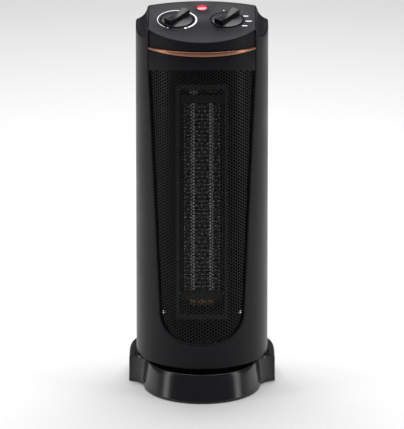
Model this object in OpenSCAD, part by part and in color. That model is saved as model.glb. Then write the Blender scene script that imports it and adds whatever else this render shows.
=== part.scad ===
// Ceramic tower heater: a semicircular tower that turns on a base, with a sloping control
// panel, a U-shaped grille, a ceramic heater and a vertical cross-flow blower.
// The origin is on the floor at the middle of the whole heater; the front faces -Y.

/* [Tower] */
// Height of the panel's crest above the floor
total_h = 463; // [420:1:560]
// Radius of the tower's round front
tower_r = 78.3; // [72:0.1:90]
// Distance from the tower's axis to its back
tower_back = 59; // [56:1:70]
// Radius of the tower's rear corners
rear_corner_r = 42; // [30:1:45]
// Height of the tower's lower edge above the floor
tower_z = 37; // [36:0.5:50]
// Wall of the tower's housings
wall = 2.8; // [2:0.1:3.5]
// Distance from the axis back to the seam between the housings
seam_y = 8; // [0:1:15]
// Gap between neighbouring mouldings
gap = 0.3; // [0.2:0.05:0.5]

/* [Control panel] */
// Slope of the panel towards the front, in degrees
panel_slope = 11.3; // [8:0.1:15]
// Distance from the axis back to the panel's crest
crest_y = 25.5; // [20:0.5:30]
// Distance from the panel's side to the tower's side
rail_w = 15.1; // [12:0.1:20]
// Distance that the panel's round front stands back from the tower's
panel_set = 1.6; // [1:0.1:4]
// Radius of the panel's back edge
panel_back_r = 200; // [150:5:300]
// Thickness of the panel
panel_t = 2.5; // [2:0.1:3]
// Radius of the hollow shoulders beside the panel
cove_r = 17.5; // [14:0.5:20]
// Slope of the roof behind the panel, in degrees
roof_slope = 20; // [19:1:26]
// Height of the trim band's lower edge below the crest
band_drop = 37.5; // [34:0.5:42]
// Height of the trim band at its ends
band_h = 2.7; // [2:0.1:4]
// Tilt of the trim band's upper edge, in degrees
band_tilt = 4.8; // [3:0.1:7]

/* [Grille] */
// Height of the grille opening's upper corners below the crest
opening_drop = 63.5; // [58:0.5:75]
// Tilt of the opening's upper edge, in degrees
opening_tilt = 17.6; // [10:0.1:20]
// How much narrower each half of the opening is where its round bottom starts
opening_taper = 12.6; // [8:0.1:18]
// Height of the opening's lowest point above the floor
opening_z = 68.6; // [60:0.1:75]
// Height of the opening's round bottom
opening_round_h = 40; // [35:1:50]
// Thickness of the grille's steel sheet
grille_t = 0.8; // [0.6:0.1:1.2]
// Width of the grille's rim behind the housing
grille_lap = 3; // [2:0.5:5]

/* [Knobs] */
// How much nearer the middle than halfway across its side each knob sits, twice over
knob_shift = 4.2; // [0:0.1:8]
// Distance of the knobs from the crest, along the panel
knob_v = 47; // [42:0.5:52]
// Radius of a knob
knob_r = 19; // [16:0.5:21]
// Depth of the recess that a knob sits in
knob_recess = 2; // [1:0.1:3]
// Height of a knob's disc above the panel
knob_rise = 1; // [0.6:0.1:3]
// Height of a knob's grip above its disc
grip_h = 7.2; // [5:0.1:9]
// Width of a knob's grip
grip_w = 11; // [8:0.5:13]
// Angle of the grips at rest, clockwise from the back
grip_angle = 37; // [0:1:60]
// Radius of the knobs' shafts
knob_shaft_r = 3; // [2.5:0.5:4]
// Radius of the pilot lens
lens_r = 6.3; // [5:0.1:8]
// Distance of the pilot lens from the crest, along the panel
lens_v = 16.6; // [14:0.1:20]

/* [Ceramic heater] */
// Height of the heater's ceramic bars
heater_h = 235; // [200:1:240]
// Height of the bars' lower ends above the floor
heater_z = 121; // [118:1:135]
// Distance from the axis forward to the heater's front
heater_front = 36; // [33:1:40]
// Depth of the heater
heater_depth = 12; // [10:1:14]
// Half the heater's width
heater_half_w = 21; // [18:0.5:24]
// Width of a ceramic bar
bar_w = 4; // [3:0.5:5]
// Distance of each bar from the middle
bar_x = 10.5; // [9:0.5:12]
// Distance between two fins
fin_pitch = 5; // [4:0.5:8]
// Thickness of a fin
fin_t = 0.5; // [0.4:0.1:0.8]
// Half the width of the air duct's inside
duct_half_w = 26.5; // [25:0.5:30]
// Thickness of the air duct's front rim
duct_rim = 4.8; // [3:0.1:6]

/* [Blower] */
// Distance from the axis back to the blower's shaft
blower_y = 16; // [14:0.5:20]
// Outer radius of the blower wheel
wheel_r = 22; // [18:0.5:23]
// Number of the wheel's blades
blade_count = 24; // [16:1:30]
// Radius of the blower's shaft
wheel_shaft_r = 2.5; // [2:0.5:3]
// Radius of the blower's motor
motor_r = 23; // [20:0.5:24]
// Height of the blower's motor
motor_h = 40; // [32:1:42]

/* [Base] */
// Half the width of the base
base_half_w = 87; // [84:1:100]
// Distance from the tower's axis to the back of the base
base_back = 75; // [72:1:90]
// Height of the base's rim
rim_z = 33; // [31:0.5:35]
// Wall of the base
base_wall = 2.5; // [2:0.1:3]
// Height of the base's lower edge above the floor
base_z = 1.2; // [1:0.1:2]
// Distance from the tower's axis to the base's seam, forward
base_seam = 13; // [12:0.5:14]
// Distance from the tower's axis to the apron's upper edge, forward
apron_top_reach = 87.1; // [86:0.1:95]
// Distance from the tower's axis to the apron's lower edge, forward
apron_low_reach = 97.2; // [95:0.1:110]
// Radius of the apron's upper lobe
lobe_top_r = 66; // [62:0.5:72]
// Radius of the apron's lower lobe
lobe_low_r = 70; // [66:0.5:78]
// Radius of the hollow blend beside the lobe
blend_r = 24; // [18:0.5:28]
// Least width of the deck around the well
deck_w = 8; // [6:0.5:9]
// Height of the well's floor
well_z = 24; // [23:0.5:25]
// Radius of the pivot tube
pivot_r = 10; // [8:0.5:10]
// Radius of a rubber foot
foot_r = 9; // [7:0.5:11]

/* [Oscillation and tip-over switch] */
// Distance from the tower's axis back to the crank's shaft
crank_y = 36; // [34:1:40]
// Throw of the crank
crank_throw = 17; // [12:0.5:18]
// Radius of the crank's pin
crank_pin_r = 2.4; // [2:0.1:3]
// Radius of the oscillation motor
osc_motor_r = 24; // [20:1:25]
// Radius of the tip-over plunger
plunger_r = 2.5; // [2:0.1:3]
// Travel of the tip-over plunger
plunger_travel = 4; // [3:0.5:5]

/* [Hidden] */

$fn = 72;
eps = 0.02;
far = 400;
run_fit = 0.05;              // radial clearance of a turning shaft

axis_y = (apron_low_reach - base_back) / 2;   // the tower's axis, from the heater's middle
panel_half_w = tower_r - rail_w;
panel_r = tower_r - panel_set;
knob_x = (panel_half_w - knob_shift) / 2;
opening_low_w = panel_half_w - opening_taper;
corner_y = crest_y - panel_back_r + sqrt(pow(panel_back_r, 2) - pow(panel_half_w, 2));
corner_z = total_h - (crest_y - corner_y) * tan(panel_slope);
cove_drop = 1.5;             // the shoulders start this far below the panel
ledge_w = 0.4;               // flat edge beside the panel, before the hollow
roof_drop = 1;               // the roof starts this far below the panel's corner
cove_join = 0.7;             // lifts the roof's hollows to meet the front ones at the sides
band_z = total_h - band_drop;
end_y = -sqrt(pow(tower_r, 2) - pow(panel_half_w, 2));   // front ends of the panel's sides
opening_top_z = total_h - opening_drop;
opening_top_w = panel_half_w + gap;
opening_join_z = opening_z + opening_round_h;
opening_power = 2.4;         // squareness of the opening's round bottom

floor_z = tower_z + 2;
floor_t = 3;
heater_top = heater_z + heater_h;
heater_mid_y = -heater_front + heater_depth / 2;
bracket_h = 10;
bracket_half_w = heater_half_w + 3;
duct_t = 2;
duct_low = heater_z - 25;
duct_top = heater_top + 24;
duct_front = heater_front + 16;
duct_back = heater_front - heater_depth - 4;

wheel_z = heater_z + 1;
wheel_top = heater_top - 2;
wheel_disc = 2;
scroll_r = wheel_r + 4;
scroll_t = 2;
scroll_low = wheel_z - 8;
scroll_top = wheel_top + 8;
plate_t = 2.5;
motor_top = scroll_low - plate_t - gap;

knob_gap = 1;
boss_r = 5;
switch_top = -panel_t - 3.5;
switch_neck = 5;
switch_depth = 15;
lens_gap = 0.15;
panel_screw_x = panel_half_w - 13.5;
panel_screw_v = 19;
panel_boss = 11;

bearing_r = 13.5;
bearing_flange_r = 22;
bearing_low = well_z - 4;
lever_z = well_z + 8.5;
lever_t = 3;
crank_z = well_z + 1;
crank_t = 3;
osc_low = 5;
osc_h = 10;
plate_top = 4;
tip_x = 52;
tip_y = 16;
post_points = [[60, 2], [-60, 2], [58, 44], [-58, 44], [0, -72]];
foot_points = [[66, 20], [-66, 20], [34, 60], [-34, 60], [45, -55], [-45, -55]];
post_r = 4.5;
wing_in = tower_r + 0.6;
screw_r = 1.6;
screw_head_r = 3.3;
screw_head_t = 1.6;
screw_sink = 0.6;
housing_screw_points = [[48, 62], [-48, 62], [52, 385], [-52, 385]];

// ---------- shared shapes ----------

// Everything in the tower is drawn around its own axis and moved here.
module on_axis() {
    translate([0, axis_y, 0]) children();
}

// The panel's own frame: the crest's middle, +Z square to the panel, -Y down its slope.
module on_panel() {
    on_axis() translate([0, crest_y, total_h]) rotate([panel_slope, 0, 0]) children();
}

// Half space below a plane through (y, z) that rises towards the front.
module below(y, z, tilt) {
    translate([0, y, z]) rotate([-tilt, 0, 0]) translate([-far, -far, -far]) cube([2 * far, 2 * far, far]);
}

// Half space above the same plane.
module above(y, z, tilt) {
    translate([0, y, z]) rotate([-tilt, 0, 0]) translate([-far, -far, 0]) cube([2 * far, 2 * far, far]);
}

module ring(outer, inner, h) {
    difference() {
        cylinder(r = outer, h = h);
        translate([0, 0, -1]) cylinder(r = inner, h = h + 2);
    }
}

// Points of an arc from angle first to angle last, in steps of about 3 degrees.
function arc(mid, r, first, last) =
    let (steps = ceil(abs(last - first) / 3))
    [for (i = [0 : steps]) let (a = first + (last - first) * i / steps) mid + r * [cos(a), sin(a)]];

// The tower's outline seen from above, moved in by inset.
module tower_plan(inset) {
    r = tower_r - inset;
    corner = rear_corner_r - inset;
    mid = [r - corner, tower_back - inset - corner];
    polygon(concat(arc([0, 0], r, 180, 360), arc(mid, corner, 0, 90), arc([-mid.x, mid.y], corner, 90, 180)));
}

// The tower's outer form, moved in by inset: shoulders, sloping top and roof.
module tower_form(inset) {
    difference() {
        translate([0, 0, tower_z]) linear_extrude(height = total_h - tower_z + 1) tower_plan(inset);
        translate([0, crest_y, total_h]) rotate([panel_slope, 0, 0]) {
            translate([-far, -far, -cove_drop - inset]) cube([2 * far, 2 * far, far]);
            for (side = [-1, 1])
                translate([side * (panel_half_w + gap + ledge_w + cove_r), far / 2, 2 - cove_drop])
                    rotate([90, 0, 0]) cylinder(r = cove_r + inset, h = far);
        }
        translate([0, corner_y, corner_z - roof_drop]) rotate([-roof_slope, 0, 0]) {
            translate([-far, -eps, -inset]) cube([2 * far, far, far]);
            for (side = [-1, 1])
                translate([side * (panel_half_w + gap + ledge_w + cove_r), far, roof_drop + 0.5 + cove_join])
                    rotate([90, 0, 0]) cylinder(r = cove_r + inset, h = far + 2);
        }
    }
}

module tower_shell() {
    difference() {
        tower_form(0);
        translate([0, 0, -eps]) tower_form(wall);
    }
}

// The panel's outline seen from above, moved in by inset.
module panel_plan(inset) {
    intersection() {
        circle(r = panel_r - inset);
        translate([-panel_half_w + inset, -far / 2]) square([2 * (panel_half_w - inset), far]);
        translate([0, crest_y - panel_back_r]) circle(r = panel_back_r - inset, $fn = 200);
    }
}

// Half width of the grille opening's round bottom at height z.
function round_w(z, grow) =
    (opening_low_w + grow) * pow(1 - pow((opening_join_z - z) / (opening_round_h + grow), opening_power),
    1 / opening_power);

// One side of the opening, from its lowest point up to height top.
function opening_side(grow, top) = concat(
    [for (a = [0 : 9 : 81]) let (z = opening_join_z - (opening_round_h + grow) * cos(a)) [round_w(z, grow), z]],
    [[opening_low_w + grow, opening_join_z], [opening_top_w + grow, opening_top_z], [opening_top_w + grow, top]]);

function mirrored(points) = [for (i = [len(points) - 1 : -1 : 0]) [-points[i].x, points[i].y]];

// The grille opening as a prism through the tower's front.
module opening_prism(grow, top) {
    side = opening_side(grow, top);
    rotate([90, 0, 0]) linear_extrude(height = tower_r + 20) polygon(concat(side, mirrored(side)));
}

// A strip of the tower's round front between two radii.
module front_skin(outer, thick) {
    intersection() {
        translate([0, 0, tower_z]) ring(outer, outer - thick, total_h - tower_z);
        translate([-far, -far, 0]) cube([2 * far, far, far * 2]);
    }
}

// The base's rear outline: a squarish oval, wider than deep.
oval_power = 4;
oval_y = -15;
function oval(inset) = [for (a = [0 : 4 : 180])
    let (c = cos(a), s = sin(a))
    [(base_half_w - inset) * sign(c) * pow(abs(c), 2 / oval_power),
     oval_y + (base_back - oval_y - inset) * pow(abs(s), 2 / oval_power)]];

// Centre of the hollow blend: it touches the lobe and passes through the wing's end.
function blend_centre(reach, lobe, wing) =
    let (mid = [0, lobe - reach],
         far_r = lobe + blend_r,
         to = wing - mid,
         d = norm(to),
         along = (d * d + far_r * far_r - blend_r * blend_r) / (2 * d),
         up = sqrt(far_r * far_r - along * along),
         u = to / d)
    mid + along * u + up * [u.y, -u.x];

// One side of the apron's outline: the lobe, then the hollow blend out to the wing.
function apron_side(reach, lobe, wing, inset) =
    let (mid = [0, lobe - reach],
         hub = blend_centre(reach, lobe, wing),
         touch = atan2(hub.y - mid.y, hub.x - mid.x),
         last = 180 - asin((wing.y - hub.y) / (blend_r + inset)),
         blend = arc(hub, blend_r + inset, 180 + touch, last))
    concat(arc(mid, lobe - inset, -90, touch), [for (i = [1 : len(blend) - 1]) blend[i]]);

wing_y = -base_seam - gap;
wing_top = [base_half_w - 8.2, wing_y];
wing_low = [base_half_w - 1, wing_y];

function apron_line(level, inset) =
    let (side = level == "top"
            ? apron_side(apron_top_reach, lobe_top_r, wing_top, inset)
            : apron_side(apron_low_reach, lobe_low_r, wing_low, inset),
         other = mirrored(side))
    concat(other, [for (i = [1 : len(side) - 1]) side[i]]);

// The area in front of the base's seam, moved in by inset.
module apron_plan(level, inset) {
    line = apron_line(level, inset);
    edge = line[len(line) - 1].x;
    polygon(concat(line, [[edge, -base_seam + eps], [-edge, -base_seam + eps]]));
}

// Resamples a line to count points, evenly spread over its own points.
function resample(line, count) = [for (i = [0 : count - 1])
    let (t = i * (len(line) - 1) / (count - 1), k = min(floor(t), len(line) - 2))
    line[k] + (t - k) * (line[k + 1] - line[k])];

// ---------- base ----------

module base_shell() {
    color("#24242a") on_axis() difference() {
        intersection() {
            translate([0, 0, base_z]) linear_extrude(height = rim_z - base_z) polygon(oval(0));
            translate([-far, -base_seam, 0]) cube([2 * far, far, far]);
        }
        difference() {
            translate([0, 0, base_z - 1]) linear_extrude(height = rim_z - base_wall - base_z + 1)
                polygon(oval(base_wall));
            for (side = [-1, 1]) translate([side * (wing_in + far / 2), -base_seam, rim_z / 2])
                cube([far, 2 * base_wall, 2 * rim_z], center = true);
        }
        translate([0, 0, rim_z - base_wall - 1]) linear_extrude(height = base_wall + 2) deck_hole(0);
        translate([0, base_back + 5, gland_z]) rotate([90, 0, 0]) cylinder(r = gland_r + gap, h = 15);
    }
}

// The opening in the base's deck that the well hangs in, moved in by inset.
module deck_hole(inset) {
    intersection() {
        circle(r = tower_r + 1.2 - inset);
        polygon(oval(deck_w + inset));
        translate([-far, -base_seam - eps]) square([2 * far, far]);
    }
}

// The flared apron: four edge lines joined by its outside, rim, inside and underside.
module base_apron() {
    n = 121;
    rails = [[resample(apron_line("low", 0), n), base_z], [resample(apron_line("top", 0), n), rim_z],
             [resample(apron_line("top", base_wall), n), rim_z], [resample(apron_line("low", base_wall), n), base_z]];
    color("#26262c") on_axis() polyhedron(
        points = [for (rail = rails, p = rail[0]) [p.x, p.y, rail[1]]],
        faces = concat(
            [for (r = [0 : 3], i = [0 : n - 2]) let (q = (r + 1) % 4) [r * n + i, q * n + i, q * n + i + 1]],
            [for (r = [0 : 3], i = [0 : n - 2]) let (q = (r + 1) % 4) [r * n + i, q * n + i + 1, r * n + i + 1]],
            [[3 * n, 2 * n, n], [3 * n, n, 0], [n - 1, 2 * n - 1, 3 * n - 1], [n - 1, 3 * n - 1, 4 * n - 1]]));
}

module well_plan(inset) {
    deck_hole(gap + inset);
    apron_plan("top", base_wall + gap + 0.5 + inset);
}

module base_well() {
    color("#0c0c0e") on_axis() difference() {
        union() {
            translate([0, 0, well_z - 2]) linear_extrude(height = rim_z - 1.5 - well_z + 2) well_plan(0);
            for (p = post_points) translate([p.x, p.y, plate_top]) cylinder(r = post_r, h = well_z - 2 - plate_top);
        }
        translate([0, 0, well_z]) linear_extrude(height = rim_z) well_plan(2);
        translate([0, 0, well_z - 3]) cylinder(r = bearing_r + gap, h = 4);
        translate([0, crank_y, well_z - 3]) cylinder(r = 7, h = 4);
        for (p = post_points) translate([p.x, p.y, plate_top - 1]) cylinder(r = screw_r, h = 12);
    }
}

module bottom_plan(inset) {
    difference() {
        polygon(oval(inset));
        translate([-far, -base_seam - far]) square([2 * far, far]);
        for (side = [-1, 1]) translate([side * (wing_in + far / 2) - far / 2 - gap, -base_seam - eps])
            square([far + 2 * gap, base_wall + gap]);
    }
    apron_plan("low", inset + 0.6);
}

module bottom_plate() {
    color("#18181a") on_axis() difference() {
        translate([0, 0, base_z + 0.4]) linear_extrude(height = plate_top - base_z - 0.4)
            bottom_plan(base_wall + gap);
        for (p = post_points) translate([p.x, p.y, 0]) cylinder(r = screw_r + gap, h = 10);
        for (p = post_points) translate([p.x, p.y, 0])
            cylinder(r = screw_head_r + gap, h = base_z + screw_sink + screw_head_t);
        translate([tip_x, tip_y, 0]) cylinder(r = plunger_r + 1, h = 10);
    }
}

module rubber_feet() {
    color("#101010") on_axis() for (p = foot_points) translate([p.x, p.y, 0])
        cylinder(r1 = foot_r - 0.6, r2 = foot_r, h = base_z + 0.4);
}

module ballast_plate() {
    color("#4a4a48") on_axis() intersection() {
        translate([0, lobe_top_r - apron_top_reach, plate_top]) cylinder(r = lobe_top_r - 10, h = 7);
        translate([-far, -64, 0]) cube([2 * far, 30, far]);
    }
}

module base_screws() {
    color("#b8b8b8") on_axis() for (p = post_points) translate([p.x, p.y, base_z + screw_sink]) {
        cylinder(r = screw_head_r, h = screw_head_t);
        cylinder(r = screw_r, h = 12);
    }
}

module swivel_bearing() {
    color("#e8e6de") on_axis() difference() {
        union() {
            translate([0, 0, bearing_low]) cylinder(r = bearing_flange_r, h = well_z - 2 - bearing_low);
            translate([0, 0, bearing_low]) cylinder(r = bearing_r, h = well_z + 2 - bearing_low);
        }
        translate([0, 0, bearing_low - 1]) cylinder(r = pivot_r + run_fit, h = 12);
    }
}

module osc_motor() {
    color("#c9c9c4") on_axis() translate([0, crank_y, 0]) difference() {
        union() {
            translate([0, 0, osc_low]) cylinder(r = osc_motor_r, h = osc_h);
            translate([0, 0, osc_low + osc_h]) cylinder(r = 6, h = well_z - 3 - osc_low - osc_h);
            for (side = [-1, 1]) translate([side * osc_motor_r, 0, osc_low + osc_h - 1])
                cylinder(r = 5, h = 1);
        }
        translate([0, 0, osc_low + 3]) cylinder(r = knob_shaft_r + run_fit, h = 30);
        for (side = [-1, 1]) translate([side * (osc_motor_r + 2), 0, osc_low + osc_h - 2])
            cylinder(r = screw_r + gap, h = 3);
    }
}

module osc_motor_screws() {
    color("#b8b8b8") on_axis() for (side = [-1, 1])
        translate([side * (osc_motor_r + 2), crank_y, osc_low + osc_h]) {
            cylinder(r = 2.8, h = 1.4);
            translate([0, 0, -7]) cylinder(r = screw_r, h = 7.5);
        }
}

module osc_crank() {
    color("#e8e6de") on_axis() translate([0, crank_y, 0]) {
        translate([0, 0, osc_low + 4]) cylinder(r = knob_shaft_r, h = crank_z - osc_low - 3);
        translate([0, 0, crank_z]) cylinder(r = 6, h = crank_t);
        translate([0, -4, crank_z]) cube([crank_throw, 8, crank_t]);
        translate([crank_throw, 0, crank_z]) cylinder(r = 4, h = crank_t);
        translate([crank_throw, 0, crank_z]) cylinder(r = crank_pin_r, h = lever_z - 0.5 - crank_z);
    }
}

tip_w = 16;
tip_low = plate_top;
tip_h = 16;
collar_r = plunger_r + 1;
collar_z = tip_low + plunger_travel + 5;

module tip_switch() {
    color("#d8d4c8") on_axis() translate([tip_x, tip_y, 0]) difference() {
        translate([-tip_w / 2, -tip_w / 2, tip_low]) cube([tip_w, tip_w, tip_h]);
        translate([0, 0, tip_low - 1]) cylinder(r = plunger_r + run_fit, h = tip_h + 2);
        translate([0, 0, tip_low + 2]) cylinder(r = collar_r + gap, h = plunger_travel + 7);
    }
}

module tip_plunger() {
    color("#b03028") on_axis() translate([tip_x, tip_y, 0]) {
        cylinder(r = plunger_r, h = tip_low + tip_h - 1);
        translate([0, 0, collar_z]) cylinder(r = collar_r, h = 2);
    }
}

gland_r = 6;
gland_z = 15;

module cord_gland() {
    color("#141414") on_axis() translate([0, base_back - 1, gland_z]) rotate([90, 0, 0]) difference() {
        union() {
            cylinder(r = gland_r, h = 12);
            translate([0, 0, base_wall + 1.5]) cylinder(r = gland_r + 2, h = 3);
        }
        translate([0, 0, -1]) cylinder(r = 3.2, h = 14);
    }
}

// ---------- tower floor and pivot ----------

module tower_floor() {
    color("#1c1c1e") on_axis() difference() {
        translate([0, 0, floor_z]) linear_extrude(height = floor_t) tower_plan(wall + gap);
        translate([0, 0, floor_z - 1]) cylinder(r = pivot_r, h = floor_t + 2);
    }
}

module pivot_tube() {
    color("#b9bcc0") on_axis() difference() {
        translate([0, 0, bearing_low - 5]) cylinder(r = pivot_r, h = floor_z + floor_t + 4 - bearing_low + 5);
        translate([0, 0, bearing_low - 6]) cylinder(r = pivot_r - 2.5, h = 60);
    }
}

module pivot_retainer() {
    color("#c0c2c4") on_axis() translate([0, 0, bearing_low - 3.5]) ring(pivot_r + 5, pivot_r, 3);
}

module osc_lever() {
    reach = crank_y + crank_throw + 7;
    color("#e8e6de") on_axis() difference() {
        union() {
            translate([0, 0, lever_z]) cylinder(r = pivot_r + 5, h = floor_z - lever_z);
            translate([-7, 0, lever_z]) cube([14, reach, lever_t]);
        }
        translate([0, 0, lever_z - 1]) cylinder(r = pivot_r, h = 20);
        translate([-crank_pin_r - 0.5, pivot_r + 7, lever_z - 1])
            cube([2 * crank_pin_r + 1, reach - pivot_r - 10, lever_t + 2]);
    }
}

// ---------- tower shells ----------

module front_housing() {
    color("#2a2a30") on_axis() difference() {
        intersection() {
            tower_shell();
            translate([-far, -far, 0]) cube([2 * far, far + seam_y - gap / 2, 2 * far]);
        }
        opening_prism(0, total_h + 10);
        panel_bay();
    }
}

// The space that the panel drops into.
module panel_bay() {
    translate([0, 0, band_z + 8]) linear_extrude(height = far) panel_plan(-gap);
}

grip_box = [40, 24, 28];     // half width, depth and height of the carry grip
grip_z = 396;

module rear_housing() {
    color("#232329") on_axis() difference() {
        union() {
            intersection() {
                tower_shell();
                translate([-far, seam_y + gap / 2, 0]) cube([2 * far, far, 2 * far]);
            }
            intersection() {
                tower_form(wall - eps);
                translate([-grip_box.x - 2, tower_back - grip_box.y - 2, grip_z - 2])
                    cube([2 * grip_box.x + 4, 60, grip_box.z + 4]);
            }
            for (p = housing_screw_points) intersection() {
                tower_form(wall - eps);
                translate([p.x, far, p.y]) rotate([90, 0, 0]) cylinder(r = 5, h = far - seam_y - 4);
            }
        }
        panel_bay();
        translate([-grip_box.x, tower_back - grip_box.y, grip_z])
            cube([2 * grip_box.x, 60, grip_box.z]);
        for (side = [-1, 1], i = [0 : 19])
            translate([side * 24 - 20, tower_back - 20, 128 + 11 * i]) cube([40, 40, 5]);
        for (p = housing_screw_points) {
            translate([p.x, far, p.y]) rotate([90, 0, 0]) cylinder(r = screw_head_r + gap, h = far - 46);
            translate([p.x, far, p.y]) rotate([90, 0, 0]) cylinder(r = screw_r, h = far - seam_y - 8);
        }
    }
}

module housing_screws() {
    color("#b8b8b8") on_axis() for (p = housing_screw_points) translate([p.x, 0, p.y]) rotate([-90, 0, 0]) {
        translate([0, 0, 46]) cylinder(r = screw_head_r, h = 2);
        translate([0, 0, 20]) cylinder(r = screw_r, h = 27);
    }
}

// ---------- control panel, band, fascia and grille ----------

module control_panel() {
    color("#313136") difference() {
        union() {
            on_axis() difference() {
                intersection() {
                    linear_extrude(height = far * 2) panel_plan(0);
                    above(end_y, band_z + band_h + gap, band_tilt);
                    translate([0, crest_y, total_h]) rotate([panel_slope, 0, 0])
                        translate([-far, -far, -far]) cube([2 * far, 2 * far, far]);
                }
                intersection() {
                    linear_extrude(height = far * 2) panel_plan(panel_t);
                    translate([0, crest_y, total_h]) rotate([panel_slope, 0, 0])
                        translate([-far, -far, -far - panel_t]) cube([2 * far, 2 * far, far]);
                }
            }
            on_panel() for (side = [-1, 1]) {
                translate([side * knob_x, -knob_v, -knob_recess - panel_t])
                    cylinder(r = knob_r + knob_gap + 2, h = knob_recess + panel_t - eps);
                translate([side * panel_screw_x, -panel_screw_v, -panel_boss])
                    cylinder(r = post_r, h = panel_boss - eps);
            }
        }
        on_panel() {
            for (side = [-1, 1]) translate([side * knob_x, -knob_v, 0]) {
                translate([0, 0, -knob_recess]) cylinder(r = knob_r + knob_gap, h = 10);
                translate([0, 0, -20]) cylinder(r = boss_r + 0.6, h = 20);
            }
            translate([0, -lens_v, -10]) cylinder(r = lens_r + lens_gap, h = 20);
            for (side = [-1, 1]) translate([side * panel_screw_x, -panel_screw_v, -panel_boss - 1])
                cylinder(r = screw_r, h = panel_boss + 1 - panel_t);
        }
    }
}

module trim_band() {
    color("#a8715c") on_axis() intersection() {
        front_skin(tower_r + 0.2, 3);
        translate([-panel_half_w, -far, band_z]) cube([2 * panel_half_w, far, 40]);
        below(end_y, band_z + band_h, band_tilt);
    }
}

module fascia() {
    color("#29292e") on_axis() intersection() {
        front_skin(tower_r - 0.4, 2.6);
        translate([-panel_half_w + 0.5, -far, 0]) cube([2 * panel_half_w - 1, far, band_z - gap]);
        above(end_y, opening_top_z, opening_tilt);
    }
}

grille_r = tower_r - wall - 0.2;
grille_rows = 10;
grille_columns = 9;

module front_grille() {
    color("#303034") on_axis() difference() {
        intersection() {
            front_skin(grille_r, grille_t);
            opening_prism(grille_lap, total_h);
            below(end_y, opening_top_z - 0.4, opening_tilt);
        }
        for (row = [0 : grille_rows - 1], column = [0 : grille_columns - 1])
            rotate([0, 0, (column - (grille_columns - 1) / 2) * 9])
                translate([-3, -tower_r - 5, opening_join_z - 8 + row * 29]) cube([6, 20, 23]);
    }
}

module panel_screws() {
    color("#b8b8b8") on_panel() for (side = [-1, 1])
        translate([side * panel_screw_x, -panel_screw_v, -panel_boss - screw_head_t]) {
            cylinder(r = screw_head_r, h = screw_head_t);
            cylinder(r = screw_r, h = screw_head_t + panel_boss - panel_t);
        }
}

// ---------- heater ----------

module outlet_duct() {
    color("#3a3a3c") on_axis() {
        difference() {
            translate([-duct_half_w - duct_t, -duct_front, duct_low])
                cube([2 * (duct_half_w + duct_t), duct_front - duct_back, duct_top - duct_low]);
            translate([-duct_half_w, -duct_front - 1, duct_low + duct_t])
                cube([2 * duct_half_w, duct_front, duct_top - duct_low - 2 * duct_t]);
        }
        difference() {
            translate([-duct_half_w - duct_rim, -duct_front - 2, duct_low - 4])
                cube([2 * (duct_half_w + duct_rim), 2, duct_top - duct_low + 8]);
            translate([-duct_half_w, -duct_front - 3, duct_low + duct_t])
                cube([2 * duct_half_w, 4, duct_top - duct_low - 2 * duct_t]);
        }
    }
}

module ptc_bars() {
    color("#cfcabb") on_axis() for (side = [-1, 1])
        translate([side * bar_x - bar_w / 2, -heater_front, heater_z]) cube([bar_w, heater_depth, heater_h]);
}

// A stack of fins between two closing strips, from x0 to x1.
module fin_column(x0, x1) {
    edge = 0.6;
    count = floor((heater_h - fin_t) / fin_pitch);
    pitch = (heater_h - fin_t) / count;
    translate([x0, -heater_front + 0.5, heater_z]) difference() {
        cube([x1 - x0, heater_depth - 1, heater_h]);
        for (i = [0 : count - 1]) translate([edge, -1, fin_t + i * pitch])
            cube([x1 - x0 - 2 * edge, heater_depth + 2, pitch - fin_t]);
    }
}

module heat_fins() {
    inner = bar_x - bar_w / 2 - eps * 2;
    outer = bar_x + bar_w / 2 + eps * 2;
    color("#b4b6b8") on_axis() {
        fin_column(-heater_half_w, -outer);
        fin_column(-inner, inner);
        fin_column(outer, heater_half_w);
    }
}

module heater_bracket(z) {
    translate([-bracket_half_w, -heater_front - 2, z]) cube([2 * bracket_half_w, heater_depth + 4, bracket_h]);
}

module heater_top_bracket() {
    color("#2e2c28") on_axis() heater_bracket(heater_top + eps);
}

module heater_low_bracket() {
    color("#2e2c28") on_axis() difference() {
        heater_bracket(heater_z - bracket_h - eps);
        for (x = [-bar_x, 0, bar_x]) translate([x - 3.2, heater_mid_y - 0.5, heater_z - bracket_h - 1])
            cube([6.4, 1, bracket_h + 2]);
    }
}

module heater_terminals() {
    color("#c8b070") on_axis() for (x = [-bar_x, 0, bar_x])
        translate([x - 3.15, heater_mid_y - 0.4, heater_z - bracket_h - 10]) cube([6.3, 0.8, bracket_h + 9.5]);
}

module thermal_cutout() {
    color("#d8d8d4") on_axis() translate([-10, heater_mid_y, heater_top + bracket_h + 2 * eps]) {
        cylinder(r = 6.5, h = 5);
        translate([0, 0, 5]) cylinder(r = 3.5, h = 3);
    }
}

module thermal_fuse() {
    color("#c0a060") on_axis() translate([4, heater_mid_y, heater_top + bracket_h + 2.2])
        rotate([0, 90, 0]) cylinder(r = 2, h = 14);
}

// ---------- blower ----------

// The scroll seen from above: a round shell, open at the front and at one rear side.
module scroll_plan() {
    difference() {
        translate([0, blower_y]) circle(r = scroll_r + scroll_t);
        translate([0, blower_y]) circle(r = scroll_r);
        translate([-scroll_r + 4, -far]) square([2 * scroll_r - 8, far]);
        translate([-far, blower_y + 6]) square([far + 10, far]);
    }
    for (side = [-1, 1])
        translate([side * (scroll_r - 3) - 1, -duct_back + 0.5]) square([2, duct_back + 1]);
}

module blower_scroll() {
    color("#3c3c3e") on_axis() translate([0, 0, scroll_low]) linear_extrude(height = scroll_top - scroll_low)
        scroll_plan();
}

module blower_top_plate() {
    color("#3c3c3e") on_axis() difference() {
        translate([-scroll_r - 4, -duct_back + 2, scroll_top]) cube([2 * scroll_r + 8, duct_back + blower_y + 24, plate_t]);
        translate([0, blower_y, scroll_top - 1]) cylinder(r = 6, h = 10);
    }
}

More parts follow.
